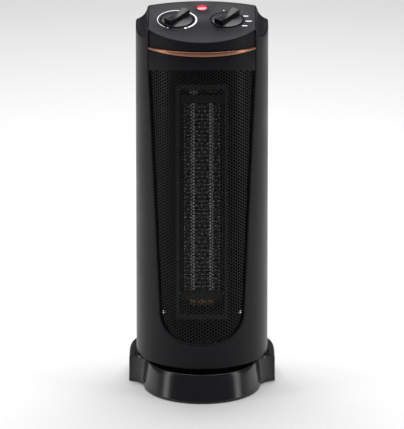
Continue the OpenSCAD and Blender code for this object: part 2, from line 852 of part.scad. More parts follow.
module upper_bearing() {
    color("#b08850") on_axis() translate([0, blower_y, scroll_top - 1])
        ring(6, wheel_shaft_r + run_fit, plate_t + 3);
}

module blower_wheel() {
    blade = 6;
    color("#2b2b2d") on_axis() translate([0, blower_y, 0]) {
        for (z = [wheel_z, (wheel_z + wheel_top) / 2, wheel_top - wheel_disc])
            translate([0, 0, z]) ring(wheel_r, wheel_shaft_r, wheel_disc);
        for (i = [0 : blade_count - 1]) rotate([0, 0, i * 360 / blade_count])
            translate([wheel_r - blade - 0.6, 0, wheel_z]) rotate([0, 0, 25])
                cube([blade, 0.8, wheel_top - wheel_z]);
    }
}

module wheel_shaft() {
    color("#c4c6c8") on_axis() translate([0, blower_y, motor_top - motor_h + 8])
        cylinder(r = wheel_shaft_r, h = scroll_top + plate_t + 6 - motor_top + motor_h - 8);
}

module blower_motor() {
    color("#9a9c9e") on_axis() translate([0, blower_y, motor_top - motor_h]) difference() {
        union() {
            cylinder(r = motor_r, h = motor_h);
            translate([0, 0, motor_h]) cylinder(r = 7, h = 2);
        }
        translate([0, 0, 4]) cylinder(r = wheel_shaft_r + run_fit, h = motor_h);
    }
}

module motor_plate() {
    color("#8c8e90") on_axis() difference() {
        translate([-scroll_r - 4, -duct_back + 2, motor_top]) cube([2 * scroll_r + 8, duct_back + blower_y + 24, plate_t]);
        translate([0, blower_y, motor_top - 1]) cylinder(r = 7.2, h = 10);
        for (side = [-1, 1]) translate([side * 14, blower_y, motor_top - 1]) cylinder(r = screw_r + 0.1, h = 10);
    }
}

module motor_screws() {
    color("#b8b8b8") on_axis() for (side = [-1, 1])
        translate([side * 14, blower_y, motor_top + plate_t]) {
            cylinder(r = 2.8, h = 1.6);
            translate([0, 0, -plate_t]) cylinder(r = screw_r, h = plate_t + eps);
        }
}

module terminal_block() {
    color("#e4e2da") on_axis() difference() {
        translate([-20, -44, floor_z + floor_t]) cube([40, 14, 14]);
        for (i = [0 : 3]) translate([-15 + 10 * i, -37, floor_z + floor_t + 6]) cylinder(r = 2.4, h = 10);
    }
}

// ---------- switches and knobs ----------

module switch_body(side, w, d) {
    on_panel() translate([side * knob_x, -knob_v, 0]) difference() {
        union() {
            translate([0, 0, switch_top - switch_neck]) cylinder(r = boss_r, h = switch_neck);
            translate([-w / 2, -d / 2, switch_top - switch_neck - switch_depth]) cube([w, d, switch_depth]);
        }
        translate([0, 0, switch_top - switch_neck - 11]) cylinder(r = knob_shaft_r + run_fit, h = 40);
    }
}

module knob_shaft(side) {
    on_panel() translate([side * knob_x, -knob_v, switch_top - switch_neck - 10])
        cylinder(r = knob_shaft_r, h = knob_rise - 0.6 - switch_top + switch_neck + 10);
}

// A disc with a raised grip that is hollowed along both sides and along its top.
module knob(side) {
    low = -knob_recess + 0.6;
    scoop_r = 70;
    dip_r = 48;
    on_panel() translate([side * knob_x, -knob_v, 0]) rotate([0, 0, -grip_angle]) difference() {
        union() {
            translate([0, 0, low]) cylinder(r = knob_r, h = knob_rise - low);
            translate([0, 0, switch_top + 0.5]) cylinder(r = boss_r, h = low - switch_top - 0.5 + eps);
            difference() {
                intersection() {
                    cylinder(r = knob_r - 0.8, h = knob_rise + grip_h);
                    translate([-grip_w / 2, -knob_r, 0]) cube([grip_w, 2 * knob_r, 20]);
                }
                for (s = [-1, 1]) translate([s * (scoop_r + grip_w / 2 - 1.6), 0, knob_rise])
                    cylinder(r = scoop_r, h = 20);
                translate([0, 0, knob_rise + grip_h + dip_r - 2.5]) rotate([0, 90, 0])
                    cylinder(r = dip_r, h = 40, center = true);
            }
        }
        translate([0, 0, switch_top - 5]) cylinder(r = knob_shaft_r, h = knob_rise - 0.6 - switch_top + 5);
    }
}

module thermostat() {
    color("#d9d2c0") switch_body(-1, 32, 26);
}

module thermostat_shaft() {
    color("#c4c6c8") knob_shaft(-1);
}

module thermostat_knob() {
    color("#2e2e33") knob(-1);
}

module mode_switch() {
    color("#1f1f22") switch_body(1, 28, 28);
}

module mode_shaft() {
    color("#c4c6c8") knob_shaft(1);
}

module mode_knob() {
    color("#2e2e33") knob(1);
}

module pilot_lens() {
    color("#c8283a") on_panel() translate([0, -lens_v, 0]) {
        translate([0, 0, -panel_t - 1.5]) cylinder(r = lens_r, h = panel_t + 2.3);
        translate([0, 0, -panel_t - 2.5]) cylinder(r = lens_r + 1.2, h = 2.4);
    }
}

module pilot_lamp() {
    color("#e8c8a0") on_panel() translate([0, -lens_v, -panel_t - 2.6 - 14]) {
        cylinder(r = 3.2, h = 14);
        translate([0, 0, -1.8]) cylinder(r = 4.5, h = 2);
    }
}

base_shell();
base_apron();
base_well();
bottom_plate();
rubber_feet();
ballast_plate();
base_screws();
swivel_bearing();
osc_motor();
osc_motor_screws();
osc_crank();
tip_switch();
tip_plunger();
cord_gland();
tower_floor();
pivot_tube();
pivot_retainer();
osc_lever();
front_housing();
rear_housing();
housing_screws();
control_panel();
trim_band();
fascia();
front_grille();
panel_screws();
outlet_duct();
ptc_bars();
heat_fins();
heater_top_bracket();
heater_low_bracket();
heater_terminals();
thermal_cutout();
thermal_fuse();
blower_scroll();
blower_top_plate();
upper_bearing();
blower_wheel();
wheel_shaft();
blower_motor();
motor_plate();
motor_screws();
terminal_block();
thermostat();
thermostat_shaft();
thermostat_knob();
mode_switch();
mode_shaft();
mode_knob();
pilot_lens();
pilot_lamp();
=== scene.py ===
"""Looks for a ceramic tower heater: shells, grille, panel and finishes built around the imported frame."""

import logging
import math
from collections.abc import Callable, Iterable, Sequence
from dataclasses import dataclass, field
from enum import Enum

import bmesh
import bpy
from mathutils import Matrix, Vector
from mathutils.geometry import delaunay_2d_cdt


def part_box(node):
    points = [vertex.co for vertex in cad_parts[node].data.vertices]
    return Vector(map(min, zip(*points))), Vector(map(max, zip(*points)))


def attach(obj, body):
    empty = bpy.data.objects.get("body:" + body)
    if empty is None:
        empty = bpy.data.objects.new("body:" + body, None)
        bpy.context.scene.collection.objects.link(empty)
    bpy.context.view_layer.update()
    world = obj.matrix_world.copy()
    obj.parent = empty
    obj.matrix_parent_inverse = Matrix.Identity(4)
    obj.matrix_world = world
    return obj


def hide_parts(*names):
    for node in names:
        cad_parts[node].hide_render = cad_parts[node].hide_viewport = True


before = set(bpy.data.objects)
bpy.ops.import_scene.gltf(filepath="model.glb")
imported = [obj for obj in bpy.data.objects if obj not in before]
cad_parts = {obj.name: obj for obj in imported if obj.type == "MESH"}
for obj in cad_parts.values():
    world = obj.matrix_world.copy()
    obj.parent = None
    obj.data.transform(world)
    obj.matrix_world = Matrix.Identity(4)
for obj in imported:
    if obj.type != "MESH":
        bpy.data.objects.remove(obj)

log = logging.getLogger("heater")
MM = 0.001
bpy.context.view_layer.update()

Point = Sequence[float]
Loop = list[Vector]


# ---------- small tools ----------

def linear(hex_code: str) -> tuple[float, float, float, float]:
    """Turns an sRGB hex colour into linear RGBA.

    Args:
        hex_code: six hex digits, with or without a leading hash.

    Returns:
        Linear red, green and blue, and an alpha of 1.
    """
    digits = hex_code.lstrip("#")
    parts = [int(digits[i:i + 2], 16) / 255 for i in (0, 2, 4)]
    red, green, blue = (c / 12.92 if c <= 0.04045 else ((c + 0.055) / 1.055) ** 2.4 for c in parts)
    return (red, green, blue, 1.0)


def box_mm(node: str) -> tuple[Vector, Vector]:
    """Gives a CAD node's lowest and highest corners in millimetres."""
    low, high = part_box(node)
    return Vector(low) / MM, Vector(high) / MM


def add(tree: bpy.types.NodeTree, kind: str, settings: dict | None = None, **sockets: object) -> bpy.types.Node:
    """Adds a node, sets its properties and fills or links its inputs.

    Args:
        tree: the node tree to add to.
        kind: the node's type name.
        settings: property names and values.
        **sockets: input names, with underscores for spaces, or i0, i1 ... for input numbers; a
            socket as the value makes a link.

    Returns:
        The new node.
    """
    node = tree.nodes.new(kind)
    for key, value in (settings or {}).items():
        setattr(node, key, value)
    for key, value in sockets.items():
        number = key[1:]
        by_number = key[0] == "i" and number.isdigit()
        socket = node.inputs[int(number) if by_number else key.replace("_", " ")]
        if isinstance(value, bpy.types.NodeSocket):
            tree.links.new(value, socket)
        else:
            socket.default_value = value
    return node


# ---------- finishes ----------

class Surface(Enum):
    """How a surface was made, which decides its fine relief."""

    MOULDED = "moulded"        # spark-eroded tool texture: fine soft grain
    POLISHED = "polished"      # gloss moulding: almost no grain, long soft waves
    ROLLED = "rolled"          # sheet metal: streaks along one axis
    COATED = "coated"          # powder or lacquer: orange peel
    FIRED = "fired"            # ceramic: coarse speckle


@dataclass(frozen=True)
class Finish:
    """One real material with its colour, gloss and relief."""

    name: str
    colour: str
    roughness: float
    surface: Surface = Surface.MOULDED
    metallic: float = 0.0
    grain_mm: float = 0.7
    relief_mm: float = 0.02
    variation: float = 0.08
    coat: float = 0.0
    glow: float = 0.0
    clear: float = 0.0
    specular: float = 0.5
    axis: tuple[float, float, float] = (1.0, 1.0, 1.0)

    def build(self) -> bpy.types.Material:
        """Builds the node material.

        Returns:
            The material, with its grain scaled in millimetres from Object coordinates.
        """
        material = bpy.data.materials.new(self.name)
        material.use_nodes = True
        tree = material.node_tree
        tree.nodes.clear()
        colour = linear(self.colour)
        shader = add(tree, "ShaderNodeBsdfPrincipled", Metallic=self.metallic, Base_Color=colour)
        shader.inputs["Specular IOR Level"].default_value = self.specular
        if self.coat:
            shader.inputs["Coat Weight"].default_value = self.coat
            shader.inputs["Coat Roughness"].default_value = 0.08
        if self.glow:
            shader.inputs["Emission Color"].default_value = colour
            shader.inputs["Emission Strength"].default_value = self.glow
        if self.clear:
            shader.inputs["Transmission Weight"].default_value = self.clear
        place = add(tree, "ShaderNodeTexCoord")
        stretched = add(tree, "ShaderNodeMapping", None, Vector=place.outputs["Object"])
        stretched.inputs["Scale"].default_value = self.axis
        fine = self._relief(tree, stretched.outputs["Vector"])
        broad = add(tree, "ShaderNodeTexNoise", {"noise_dimensions": "3D"}, Vector=place.outputs["Object"],
                    Scale=1 / (45 * MM), Detail=3.0, Roughness=0.55)
        self._vary(tree, shader, broad, fine, colour)
        bump = add(tree, "ShaderNodeBump", None, Height=fine, Strength=0.6, Distance=self.relief_mm * MM)
        tree.links.new(bump.outputs["Normal"], shader.inputs["Normal"])
        add(tree, "ShaderNodeOutputMaterial", None, Surface=shader.outputs["BSDF"])
        return material

    def _relief(self, tree: bpy.types.NodeTree, vector: bpy.types.NodeSocket) -> bpy.types.NodeSocket:
        """Adds the surface's fine relief and returns its height socket."""
        scale = 1 / (self.grain_mm * MM)
        if self.surface in (Surface.COATED, Surface.FIRED):
            cells = add(tree, "ShaderNodeTexVoronoi", {"feature": "SMOOTH_F1"}, Vector=vector, Scale=scale,
                        Smoothness=0.8)
            return cells.outputs["Distance"]
        detail = 2.0 if self.surface is Surface.POLISHED else 5.0
        noise = add(tree, "ShaderNodeTexNoise", None, Vector=vector, Scale=scale, Detail=detail, Roughness=0.6)
        return noise.outputs["Fac"]

    def _vary(self, tree: bpy.types.NodeTree, shader: bpy.types.Node, broad: bpy.types.Node,
              fine: bpy.types.NodeSocket, colour: tuple[float, float, float, float]) -> None:
        """Lets colour and roughness drift a little over the surface.

        Args:
            tree: the material's tree.
            shader: its Principled node.
            broad: slow noise, for handling marks and flow.
            fine: the fine relief's height.
            colour: the finish's linear colour.
        """
        darker = tuple(c * (1 - self.variation) for c in colour[:3]) + (1.0,)
        lighter = tuple(min(1.0, c * (1 + self.variation)) for c in colour[:3]) + (1.0,)
        tint = add(tree, "ShaderNodeMix", {"data_type": "RGBA"}, i0=broad.outputs["Fac"], i6=darker, i7=lighter)
        tree.links.new(tint.outputs[2], shader.inputs["Base Color"])
        gloss = add(tree, "ShaderNodeMapRange", None, Value=broad.outputs["Fac"], From_Min=0.3, From_Max=0.7,
                    To_Min=self.roughness * 0.88, To_Max=min(1.0, self.roughness * 1.12))
        speck = add(tree, "ShaderNodeMath", {"operation": "MULTIPLY_ADD"}, i0=fine, i1=0.05 * self.roughness,
                    i2=gloss.outputs["Result"])
        tree.links.new(speck.outputs["Value"], shader.inputs["Roughness"])


class Finishes:
    """Every finish on the heater, built once each and handed out by name."""

    # ABS from a spark-eroded tool: near black, a broad soft sheen on every curve
    housing = Finish("black_abs_satin", "#1b1a1e", 0.34, Surface.MOULDED, grain_mm=0.55, relief_mm=0.008,
                     specular=0.14)
    # the same ABS on the base, a little glossier where hands slide over it
    base = Finish("black_abs_gloss", "#1c1b1f", 0.2, Surface.POLISHED, grain_mm=2.5, relief_mm=0.01)
    # ABS panel with a finer, duller tool texture: charcoal, no sharp reflections
    panel = Finish("charcoal_abs_matt", "#1b1a1e", 0.42, Surface.MOULDED, grain_mm=0.5, relief_mm=0.01,
                   specular=0.11)
    # ABS knob, satin with polished grip edges
    knob = Finish("charcoal_abs_satin", "#1c1b1f", 0.28, Surface.MOULDED, grain_mm=0.6, relief_mm=0.008,
                  specular=0.22)
    # unlit inside of the base: dull black polypropylene
    well = Finish("black_polypropylene", "#0c0c0e", 0.6, Surface.MOULDED, grain_mm=0.9, relief_mm=0.03)
    # copper-coloured lacquer over chromed ABS: warm metal glow, softened by the lacquer
    copper = Finish("copper_lacquered_trim", "#a3735f", 0.28, Surface.ROLLED, 1.0, 0.35, 0.004, 0.05,
                    axis=(0.15, 0.15, 1.0))
    # powder-coated steel sheet: semi-gloss black with orange peel
    grille = Finish("powder_coated_steel", "#0e0e10", 0.3, Surface.COATED, grain_mm=0.9, relief_mm=0.01,
                    specular=0.2)
    # white pad-printing ink: flat and faintly chalky
    ink = Finish("white_pad_ink", "#e9e8ec", 0.55, Surface.MOULDED, grain_mm=0.4, relief_mm=0.004,
                 variation=0.03)
    # red polycarbonate over the pilot lamp: glows through, wet highlight on its crown
    lens = Finish("red_polycarbonate", "#d8243c", 0.12, Surface.POLISHED, grain_mm=1.5, relief_mm=0.004,
                  coat=0.6, glow=0.55)
    # neon lamp's glass: clear with a warm tinge
    glass = Finish("neon_lamp_glass", "#f0cfae", 0.08, Surface.POLISHED, relief_mm=0.001, clear=0.7)
    # pleated polyester felt of the dust filter: black, fibrous, no gloss
    felt = Finish("polyester_filter_felt", "#101012", 0.9, Surface.MOULDED, grain_mm=0.4, relief_mm=0.08,
                  specular=0.1)
    # blackened screws behind the grille: a dull oxide skin that holds oil
    oxide = Finish("black_oxide_steel", "#161618", 0.5, Surface.MOULDED, grain_mm=0.4, relief_mm=0.006,
                   specular=0.2)
    # nitrile rubber: dull, faint bloom
    rubber = Finish("nitrile_rubber", "#17171a", 0.72, Surface.MOULDED, grain_mm=0.5, relief_mm=0.03)
    # glass-filled nylon duct: dark grey, dry surface
    duct = Finish("glass_filled_nylon", "#4a4a4f", 0.62, Surface.MOULDED, grain_mm=0.6, relief_mm=0.02)
    # phenolic heater brackets: brown-black, faint flow marks
    phenolic = Finish("phenolic_moulding", "#3a322c", 0.45, Surface.MOULDED, grain_mm=1.2, relief_mm=0.02,
                      variation=0.2)
    # acetal bearing parts: waxy off-white
    acetal = Finish("natural_acetal", "#e6e2d6", 0.38, Surface.POLISHED, grain_mm=1.5, relief_mm=0.008)
    # urea switch bodies: warm ivory, slightly glossy
    urea = Finish("ivory_urea", "#d6cdb6", 0.4, Surface.MOULDED, grain_mm=0.8, relief_mm=0.01)
    # red acetal plunger
    plunger = Finish("red_acetal", "#b02a24", 0.35, Surface.POLISHED, grain_mm=1.2, relief_mm=0.006)
    # fired barium titanate stones: pale, speckled, matt
    stone = Finish("ptc_ceramic", "#f1eee4", 0.7, Surface.FIRED, grain_mm=0.8, relief_mm=0.04, variation=0.15)
    # steatite body of the thermal cut-out
    steatite = Finish("steatite", "#dcdad2", 0.5, Surface.FIRED, grain_mm=0.6, relief_mm=0.02)
    # rolled aluminium strip: bright, streaked along the rolling direction
    aluminium = Finish("rolled_aluminium", "#e3e4e6", 0.5, Surface.ROLLED, 0.5, 0.3, 0.006, 0.08,
                       axis=(1.0, 1.0, 0.1))
    # zinc-plated steel: cool grey, soft cloudiness
    zinc = Finish("zinc_plated_steel", "#b4b6ba", 0.3, Surface.ROLLED, 1.0, 0.5, 0.006, 0.12)
    # deep-drawn galvanised motor can
    galvanised = Finish("galvanised_steel", "#9a9c9f", 0.4, Surface.FIRED, 1.0, 4.0, 0.006, 0.15)
    # stamped brass tabs
    brass = Finish("stamped_brass", "#c9a24e", 0.32, Surface.ROLLED, 1.0, 0.4, 0.006, 0.1)
    # oil-filled sintered bronze bearing: brown and dull
    bronze = Finish("sintered_bronze", "#8a6238", 0.5, Surface.FIRED, 1.0, 0.4, 0.02, 0.15)
    # grey iron ballast, as cast
    iron = Finish("cast_iron", "#4c4b49", 0.75, Surface.FIRED, 0.6, 1.2, 0.08, 0.2)

    def __init__(self) -> None:
        """Starts with no material built."""
        self._built: dict[str, bpy.types.Material] = {}

    def get(self, name: str) -> bpy.types.Material:
        """Gives a finish's material, building it when it is first asked for.

        Args:
            name: the finish's attribute name on this class.

        Returns:
            The material.
        """
        if name not in self._built:
            self._built[name] = getattr(type(self), name).build()
        return self._built[name]


# ---------- mesh tools ----------

@dataclass
class Solid:
    """Vertices in millimetres and faces with a material number, ready to become an object."""

    verts: list[Vector] = field(default_factory=list)
    faces: list[list[int]] = field(default_factory=list)
    slots: list[int] = field(default_factory=list)

    def extend(self, verts: Iterable[Point], faces: Iterable[Sequence[int]], slot: int = 0) -> "Solid":
        """Adds vertices and faces that count from zero.

        Args:
            verts: points in millimetres.
            faces: corner numbers into those points.
            slot: the faces' material number.

        Returns:
            This solid.
        """
        start = len(self.verts)
        self.verts += [Vector(v) for v in verts]
        for face in faces:
            self.faces.append([start + i for i in face])
            self.slots.append(slot)
        return self

    def sweep(self, loops: Sequence[Sequence[Point]], ring: bool = False, caps: bool = True,
              slot: int = 0) -> "Solid":
        """Joins closed loops of equal length, one after another.

        Args:
            loops: the loops.
            ring: whether the last loop joins the first.
            caps: whether the two ends are closed, when it isn't a ring.
            slot: the faces' material number.

        Returns:
            This solid.
        """
        count, size = len(loops), len(loops[0])
        faces = []
        for i in range(count if ring else count - 1):
            for k in range(size):
                nxt, step = (i + 1) % count, (k + 1) % size
                faces.append([i * size + k, i * size + step, nxt * size + step, nxt * size + k])
        if caps and not ring:
            faces.append(list(range(size))[::-1])
            faces.append([(count - 1) * size + k for k in range(size)])
        return self.extend([p for loop in loops for p in loop], faces, slot)

    def moved(self, turn: Matrix) -> "Solid":
        """Moves every vertex by a matrix and returns this solid."""
        self.verts = [turn @ v for v in self.verts]
        return self

    def object(self, name: str, materials: Sequence[bpy.types.Material],
               crease: float = 32.0) -> bpy.types.Object:
        """Makes the Blender object, in metres, welded, facing outwards and smooth below an angle.

        Args:
            name: the object's name.
            materials: its materials, in slot order.
            crease: edges sharper than this many degrees stay sharp.

        Returns:
            The object.
        """
        mesh = bpy.data.meshes.new(name)
        work = bmesh.new()
        corners = [work.verts.new(v * MM) for v in self.verts]
        for face, slot in zip(self.faces, self.slots):
            ring = [corners[i] for i in dict.fromkeys(face)]
            if len(ring) > 2:
                try:
                    work.faces.new(ring).material_index = slot
                except ValueError:
                    continue
        bmesh.ops.remove_doubles(work, verts=work.verts, dist=2e-6)
        bmesh.ops.dissolve_degenerate(work, dist=1e-6, edges=work.edges)
        bmesh.ops.recalc_face_normals(work, faces=work.faces)
        for face in work.faces:
            face.smooth = True
        for edge in work.edges:
            edge.smooth = len(edge.link_faces) == 2 and edge.calc_face_angle(0.0) < math.radians(crease)
        work.to_mesh(mesh)
        work.free()
        for material in materials:
            mesh.materials.append(material)
        item = bpy.data.objects.new(name, mesh)
        bpy.context.scene.collection.objects.link(item)
        return item


def arc(mid: Point, radius: float, first: float, last: float, steps: int) -> list[tuple[float, float]]:
    """Gives points of an arc in a plane.

    Args:
        mid: the centre.
        radius: the radius.
        first: the first angle, in degrees.
        last: the last angle, in degrees.
        steps: the number of stretches.

    Returns:
        steps + 1 points.
    """
    angles = [math.radians(first + (last - first) * i / steps) for i in range(steps + 1)]
    return [(mid[0] + radius * math.cos(a), mid[1] + radius * math.sin(a)) for a in angles]


def spread(first: float, last: float, steps: int) -> list[float]:
    """Gives steps + 1 evenly spread values."""
    return [first + (last - first) * i / steps for i in range(steps + 1)]


def mirrored(loops: Sequence[Loop]) -> list[Loop]:
    """Gives the loops' mirror images across the middle, last one first."""
    return [[Vector((-p.x, p.y, p.z)) for p in loop] for loop in reversed(loops)]


def lathe(profile: Sequence[Point], steps: int = 64) -> Solid:
    """Turns a profile of (radius, height) points round the Z axis.

    Args:
        profile: a closed section, or one that starts and ends on the axis.
        steps: stretches round the axis.

    Returns:
        The solid.
    """
    loops = []
    for i in range(steps):
        a = 2 * math.pi * i / steps
        loops.append([(r * math.cos(a), r * math.sin(a), z) for r, z in profile])
    return Solid().sweep(loops, ring=True)


def rounded(corners: Sequence[Point], radii: Sequence[float], steps: int = 4) -> list[tuple[float, float]]:
    """Eases the corners of a closed plane outline with arcs.

    The radius places an arc's centre, and the arc itself always has a radius of 1 mm.

    Args:
        corners: the outline's corners.
        radii: for each corner, the radius that places its arc's centre; 0 leaves it sharp.
        steps: stretches in each rounded corner.

    Returns:
        The eased outline.
    """
    result = []
    count = len(corners)
    for i, radius in enumerate(radii):
        here = Vector(corners[i])
        back = (Vector(corners[i - 1]) - here).normalized()
        ahead = (Vector(corners[(i + 1) % count]) - here).normalized()
        if radius <= 0:
            result.append(tuple(here))
            continue
        half = back.angle(ahead) / 2
        reach = radius / math.tan(half)
        start, end = here + back * reach, here + ahead * reach
        mid = here + (back + ahead).normalized() * (radius / math.sin(half))
        for t in spread(0, 1, steps):
            result.append(tuple(mid + (start - mid).slerp(end - mid, t)))
    return result


def tablet(mid: Point, half_w: float, half_h: float, radius: float, steps: int) -> list[tuple[float, float]]:
    """Gives an upright rectangle's outline with its corners eased.

    Args:
        mid: its middle.
        half_w: half its width.
        half_h: half its height.
        radius: the radius that places each corner's arc.
        steps: stretches in each corner.

    Returns:
        The outline.
    """
    left, right, low, high = mid[0] - half_w, mid[0] + half_w, mid[1] - half_h, mid[1] + half_h
    return rounded([(left, low), (right, low), (right, high), (left, high)], [radius] * 4, steps)


def apply_modifiers(item: bpy.types.Object) -> bpy.types.Object:
    """Turns an object's modified shape into its plain mesh and takes the modifiers off."""
    bpy.context.view_layer.update()
    depsgraph = bpy.context.evaluated_depsgraph_get()
    mesh = bpy.data.meshes.new_from_object(item.evaluated_get(depsgraph), depsgraph=depsgraph)
    item.modifiers.clear()
    old = item.data
    item.data = mesh
    bpy.data.meshes.remove(old)
    mesh.name = item.name
    return item


def from_modifier(item: bpy.types.Object, tree: bpy.types.NodeTree,
                  values: dict[str, object]) -> bpy.types.Object:
    """Runs a Geometry Nodes tree on an object and keeps the result as its plain mesh.

    Args:
        item: the object that carries the modifier.
        tree: the node tree.
        values: input names and values.

    Returns:
        The same object, with the result as its mesh and no modifier.
    """
    modifier = item.modifiers.new(tree.name, "NODES")
    modifier.node_group = tree
    for socket in tree.interface.items_tree:
        if socket.item_type == "SOCKET" and socket.in_out == "INPUT" and socket.name in values:
            modifier[socket.identifier] = values[socket.name]
    return apply_modifiers(item)


def new_tree(name: str, inputs: dict[str, tuple[str, float]]
             ) -> tuple[bpy.types.NodeTree, bpy.types.Node, bpy.types.Node]:
    """Starts a Geometry Nodes tree with named inputs.

    Args:
        name: the tree's name.
        inputs: input names, with their socket type and default.

    Returns:
        The tree, its input node and its output node.
    """
    tree = bpy.data.node_groups.new(name, "GeometryNodeTree")
    tree.interface.new_socket("Geometry", in_out="INPUT", socket_type="NodeSocketGeometry")
    tree.interface.new_socket("Geometry", in_out="OUTPUT", socket_type="NodeSocketGeometry")
    for label, (kind, value) in inputs.items():
        socket = tree.interface.new_socket(label, in_out="INPUT", socket_type=kind)
        if value is not None:
            socket.default_value = value
    return tree, tree.nodes.new("NodeGroupInput"), tree.nodes.new("NodeGroupOutput")


def cut(item: bpy.types.Object, cutter: bpy.types.Object) -> None:
    """Takes a cutter out of an object, exactly, and removes the cutter."""
    modifier = item.modifiers.new("cut", "BOOLEAN")
    modifier.operation = "DIFFERENCE"
    modifier.solver = "EXACT"
    modifier.object = cutter
    apply_modifiers(item)
    bpy.data.objects.remove(cutter)


def sharpen(item: bpy.types.Object, crease: float = 32.0) -> None:
    """Marks an object's sharp edges and shades the rest smooth."""
    work = bmesh.new()
    work.from_mesh(item.data)
    for face in work.faces:
        face.smooth = True
    for edge in work.edges:
        edge.smooth = len(edge.link_faces) == 2 and edge.calc_face_angle(0.0) < math.radians(crease)
    work.to_mesh(item.data)
    work.free()


def install(item: bpy.types.Object, body: str, *nodes: str, slot: str | None = None) -> bpy.types.Object:
    """Makes a piece ride on its body and stand for its CAD nodes.

    Args:
        item: the piece.
        body: the body's name.
        *nodes: the CAD nodes that it replaces.
        slot: not used.

    Returns:
        The piece.
    """
    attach(item, body)
    if nodes:
        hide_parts(*nodes)
    log.info("%s rides on %s, %d faces", item.name, body, len(item.data.polygons))
    return item


# ---------- the tower's form ----------

@dataclass
class TowerForm:
    """The tower's outside: a round front, straight sides, round rear corners and a hollow-shouldered top."""

    slope: float = 11.3
    roof_slope: float = 20.0
    wall: float = 2.8
    gap: float = 0.3
    cove_r: float = 17.5
    ledge: float = 0.4
    corner_r: float = 42.0
    back_r: float = 200.0
    edge_r: float = 1.6
    cove_drop: float = 1.5
    cove_lift: float = 0.5
    roof_drop: float = 1.0
    cove_join: float = 2.2

    def __post_init__(self) -> None:
        """Reads the driving sizes from the frame."""
        front_low, front_high = box_mm("front_housing")
        rear_low, rear_high = box_mm("rear_housing")
        panel_low, panel_high = box_mm("control_panel")
        self.radius = (front_high.x - front_low.x) / 2
        self.axis_y = front_low.y + self.radius
        self.low = front_low.z
        self.back = rear_high.y - self.axis_y
        self.seam = front_high.y - self.axis_y + self.gap / 2
        self.crest_z = panel_high.z
        self.crest_y = panel_high.y - self.axis_y
        self.panel_w = (panel_high.x - panel_low.x) / 2
        self.end_y = -math.sqrt(self.radius ** 2 - self.panel_w ** 2)
        self.corner_y = self.crest_y - self.back_r + math.sqrt(self.back_r ** 2 - self.panel_w ** 2)
        self.corner_z = self.crest_z - (self.crest_y - self.corner_y) * self.rise
        self.side_s = self.radius * math.pi / 2
        self.straight = self.back - self.corner_r
        self.turn_s = self.side_s + self.straight
        self.flat_s = self.turn_s + self.corner_r * math.pi / 2
        self.half_s = self.flat_s + self.radius - self.corner_r

    @property
    def rise(self) -> float:
        """Height that the panel gains for each millimetre towards the back."""
        return math.tan(math.radians(self.slope))

    def place(self) -> Matrix:
        """Gives the move from the tower's own axis to the frame."""
        return Matrix.Translation((0, self.axis_y, 0))

    def plan(self, s: float) -> tuple[Vector, Vector]:
        """Walks round the tower's outline seen from above.

        Args:
            s: distance from the front's middle, in millimetres; positive goes right.

        Returns:
            The point and the direction inwards, both flat.
        """
        side = 1 if s >= 0 else -1
        s = abs(s)
        if s <= self.side_s:
            a = s / self.radius
            out = Vector((math.sin(a), -math.cos(a)))
            point, inward = out * self.radius, -out
        elif s <= self.turn_s:
            point, inward = Vector((self.radius, s - self.side_s)), Vector((-1, 0))
        elif s <= self.flat_s:
            a = (s - self.turn_s) / self.corner_r
            out = Vector((math.cos(a), math.sin(a)))
            point = Vector((self.radius - self.corner_r, self.straight)) + out * self.corner_r
            inward = -out
        else:
            point = Vector((self.radius - self.corner_r - (s - self.flat_s), self.back))
            inward = Vector((0, -1))
        return Vector((point.x * side, point.y)), Vector((inward.x * side, inward.y))

    def top_z(self, x: float, y: float) -> float:
        """Gives the height of the shoulders and roof over a point.

        Args:
            x: sideways place.
            y: place from the axis towards the back.

        Returns:
            The height in millimetres.
        """
        plane = self.crest_z - (self.crest_y - y) * self.rise
        mid = self.panel_w + self.gap + self.ledge + self.cove_r
        reach = min(self.cove_r, mid - abs(x))
        hollow = math.sqrt(self.cove_r ** 2 - reach ** 2)
        cove = plane - max(self.cove_drop, hollow - self.cove_lift) / math.cos(math.radians(self.slope))
        tilt = math.radians(self.roof_slope)
        roof = self.corner_z - self.roof_drop - (y - self.corner_y) * math.tan(tilt)
        dip = roof - max(0.0, hollow - self.cove_join) / math.cos(tilt)
        return min(cove, dip)

    def crest_line(self, x: float) -> float:
        """Gives the y of the panel's back edge at a sideways place."""
        return self.crest_y - self.back_r + math.sqrt(self.back_r ** 2 - x ** 2)

    def skin(self, s: float, z: float, depth: float = 0.0) -> Vector:
        """Gives a point on the tower's side, or below its surface by a depth."""
        point, inward = self.plan(s)
        point = point + inward * depth
        return Vector((point.x, point.y, z))


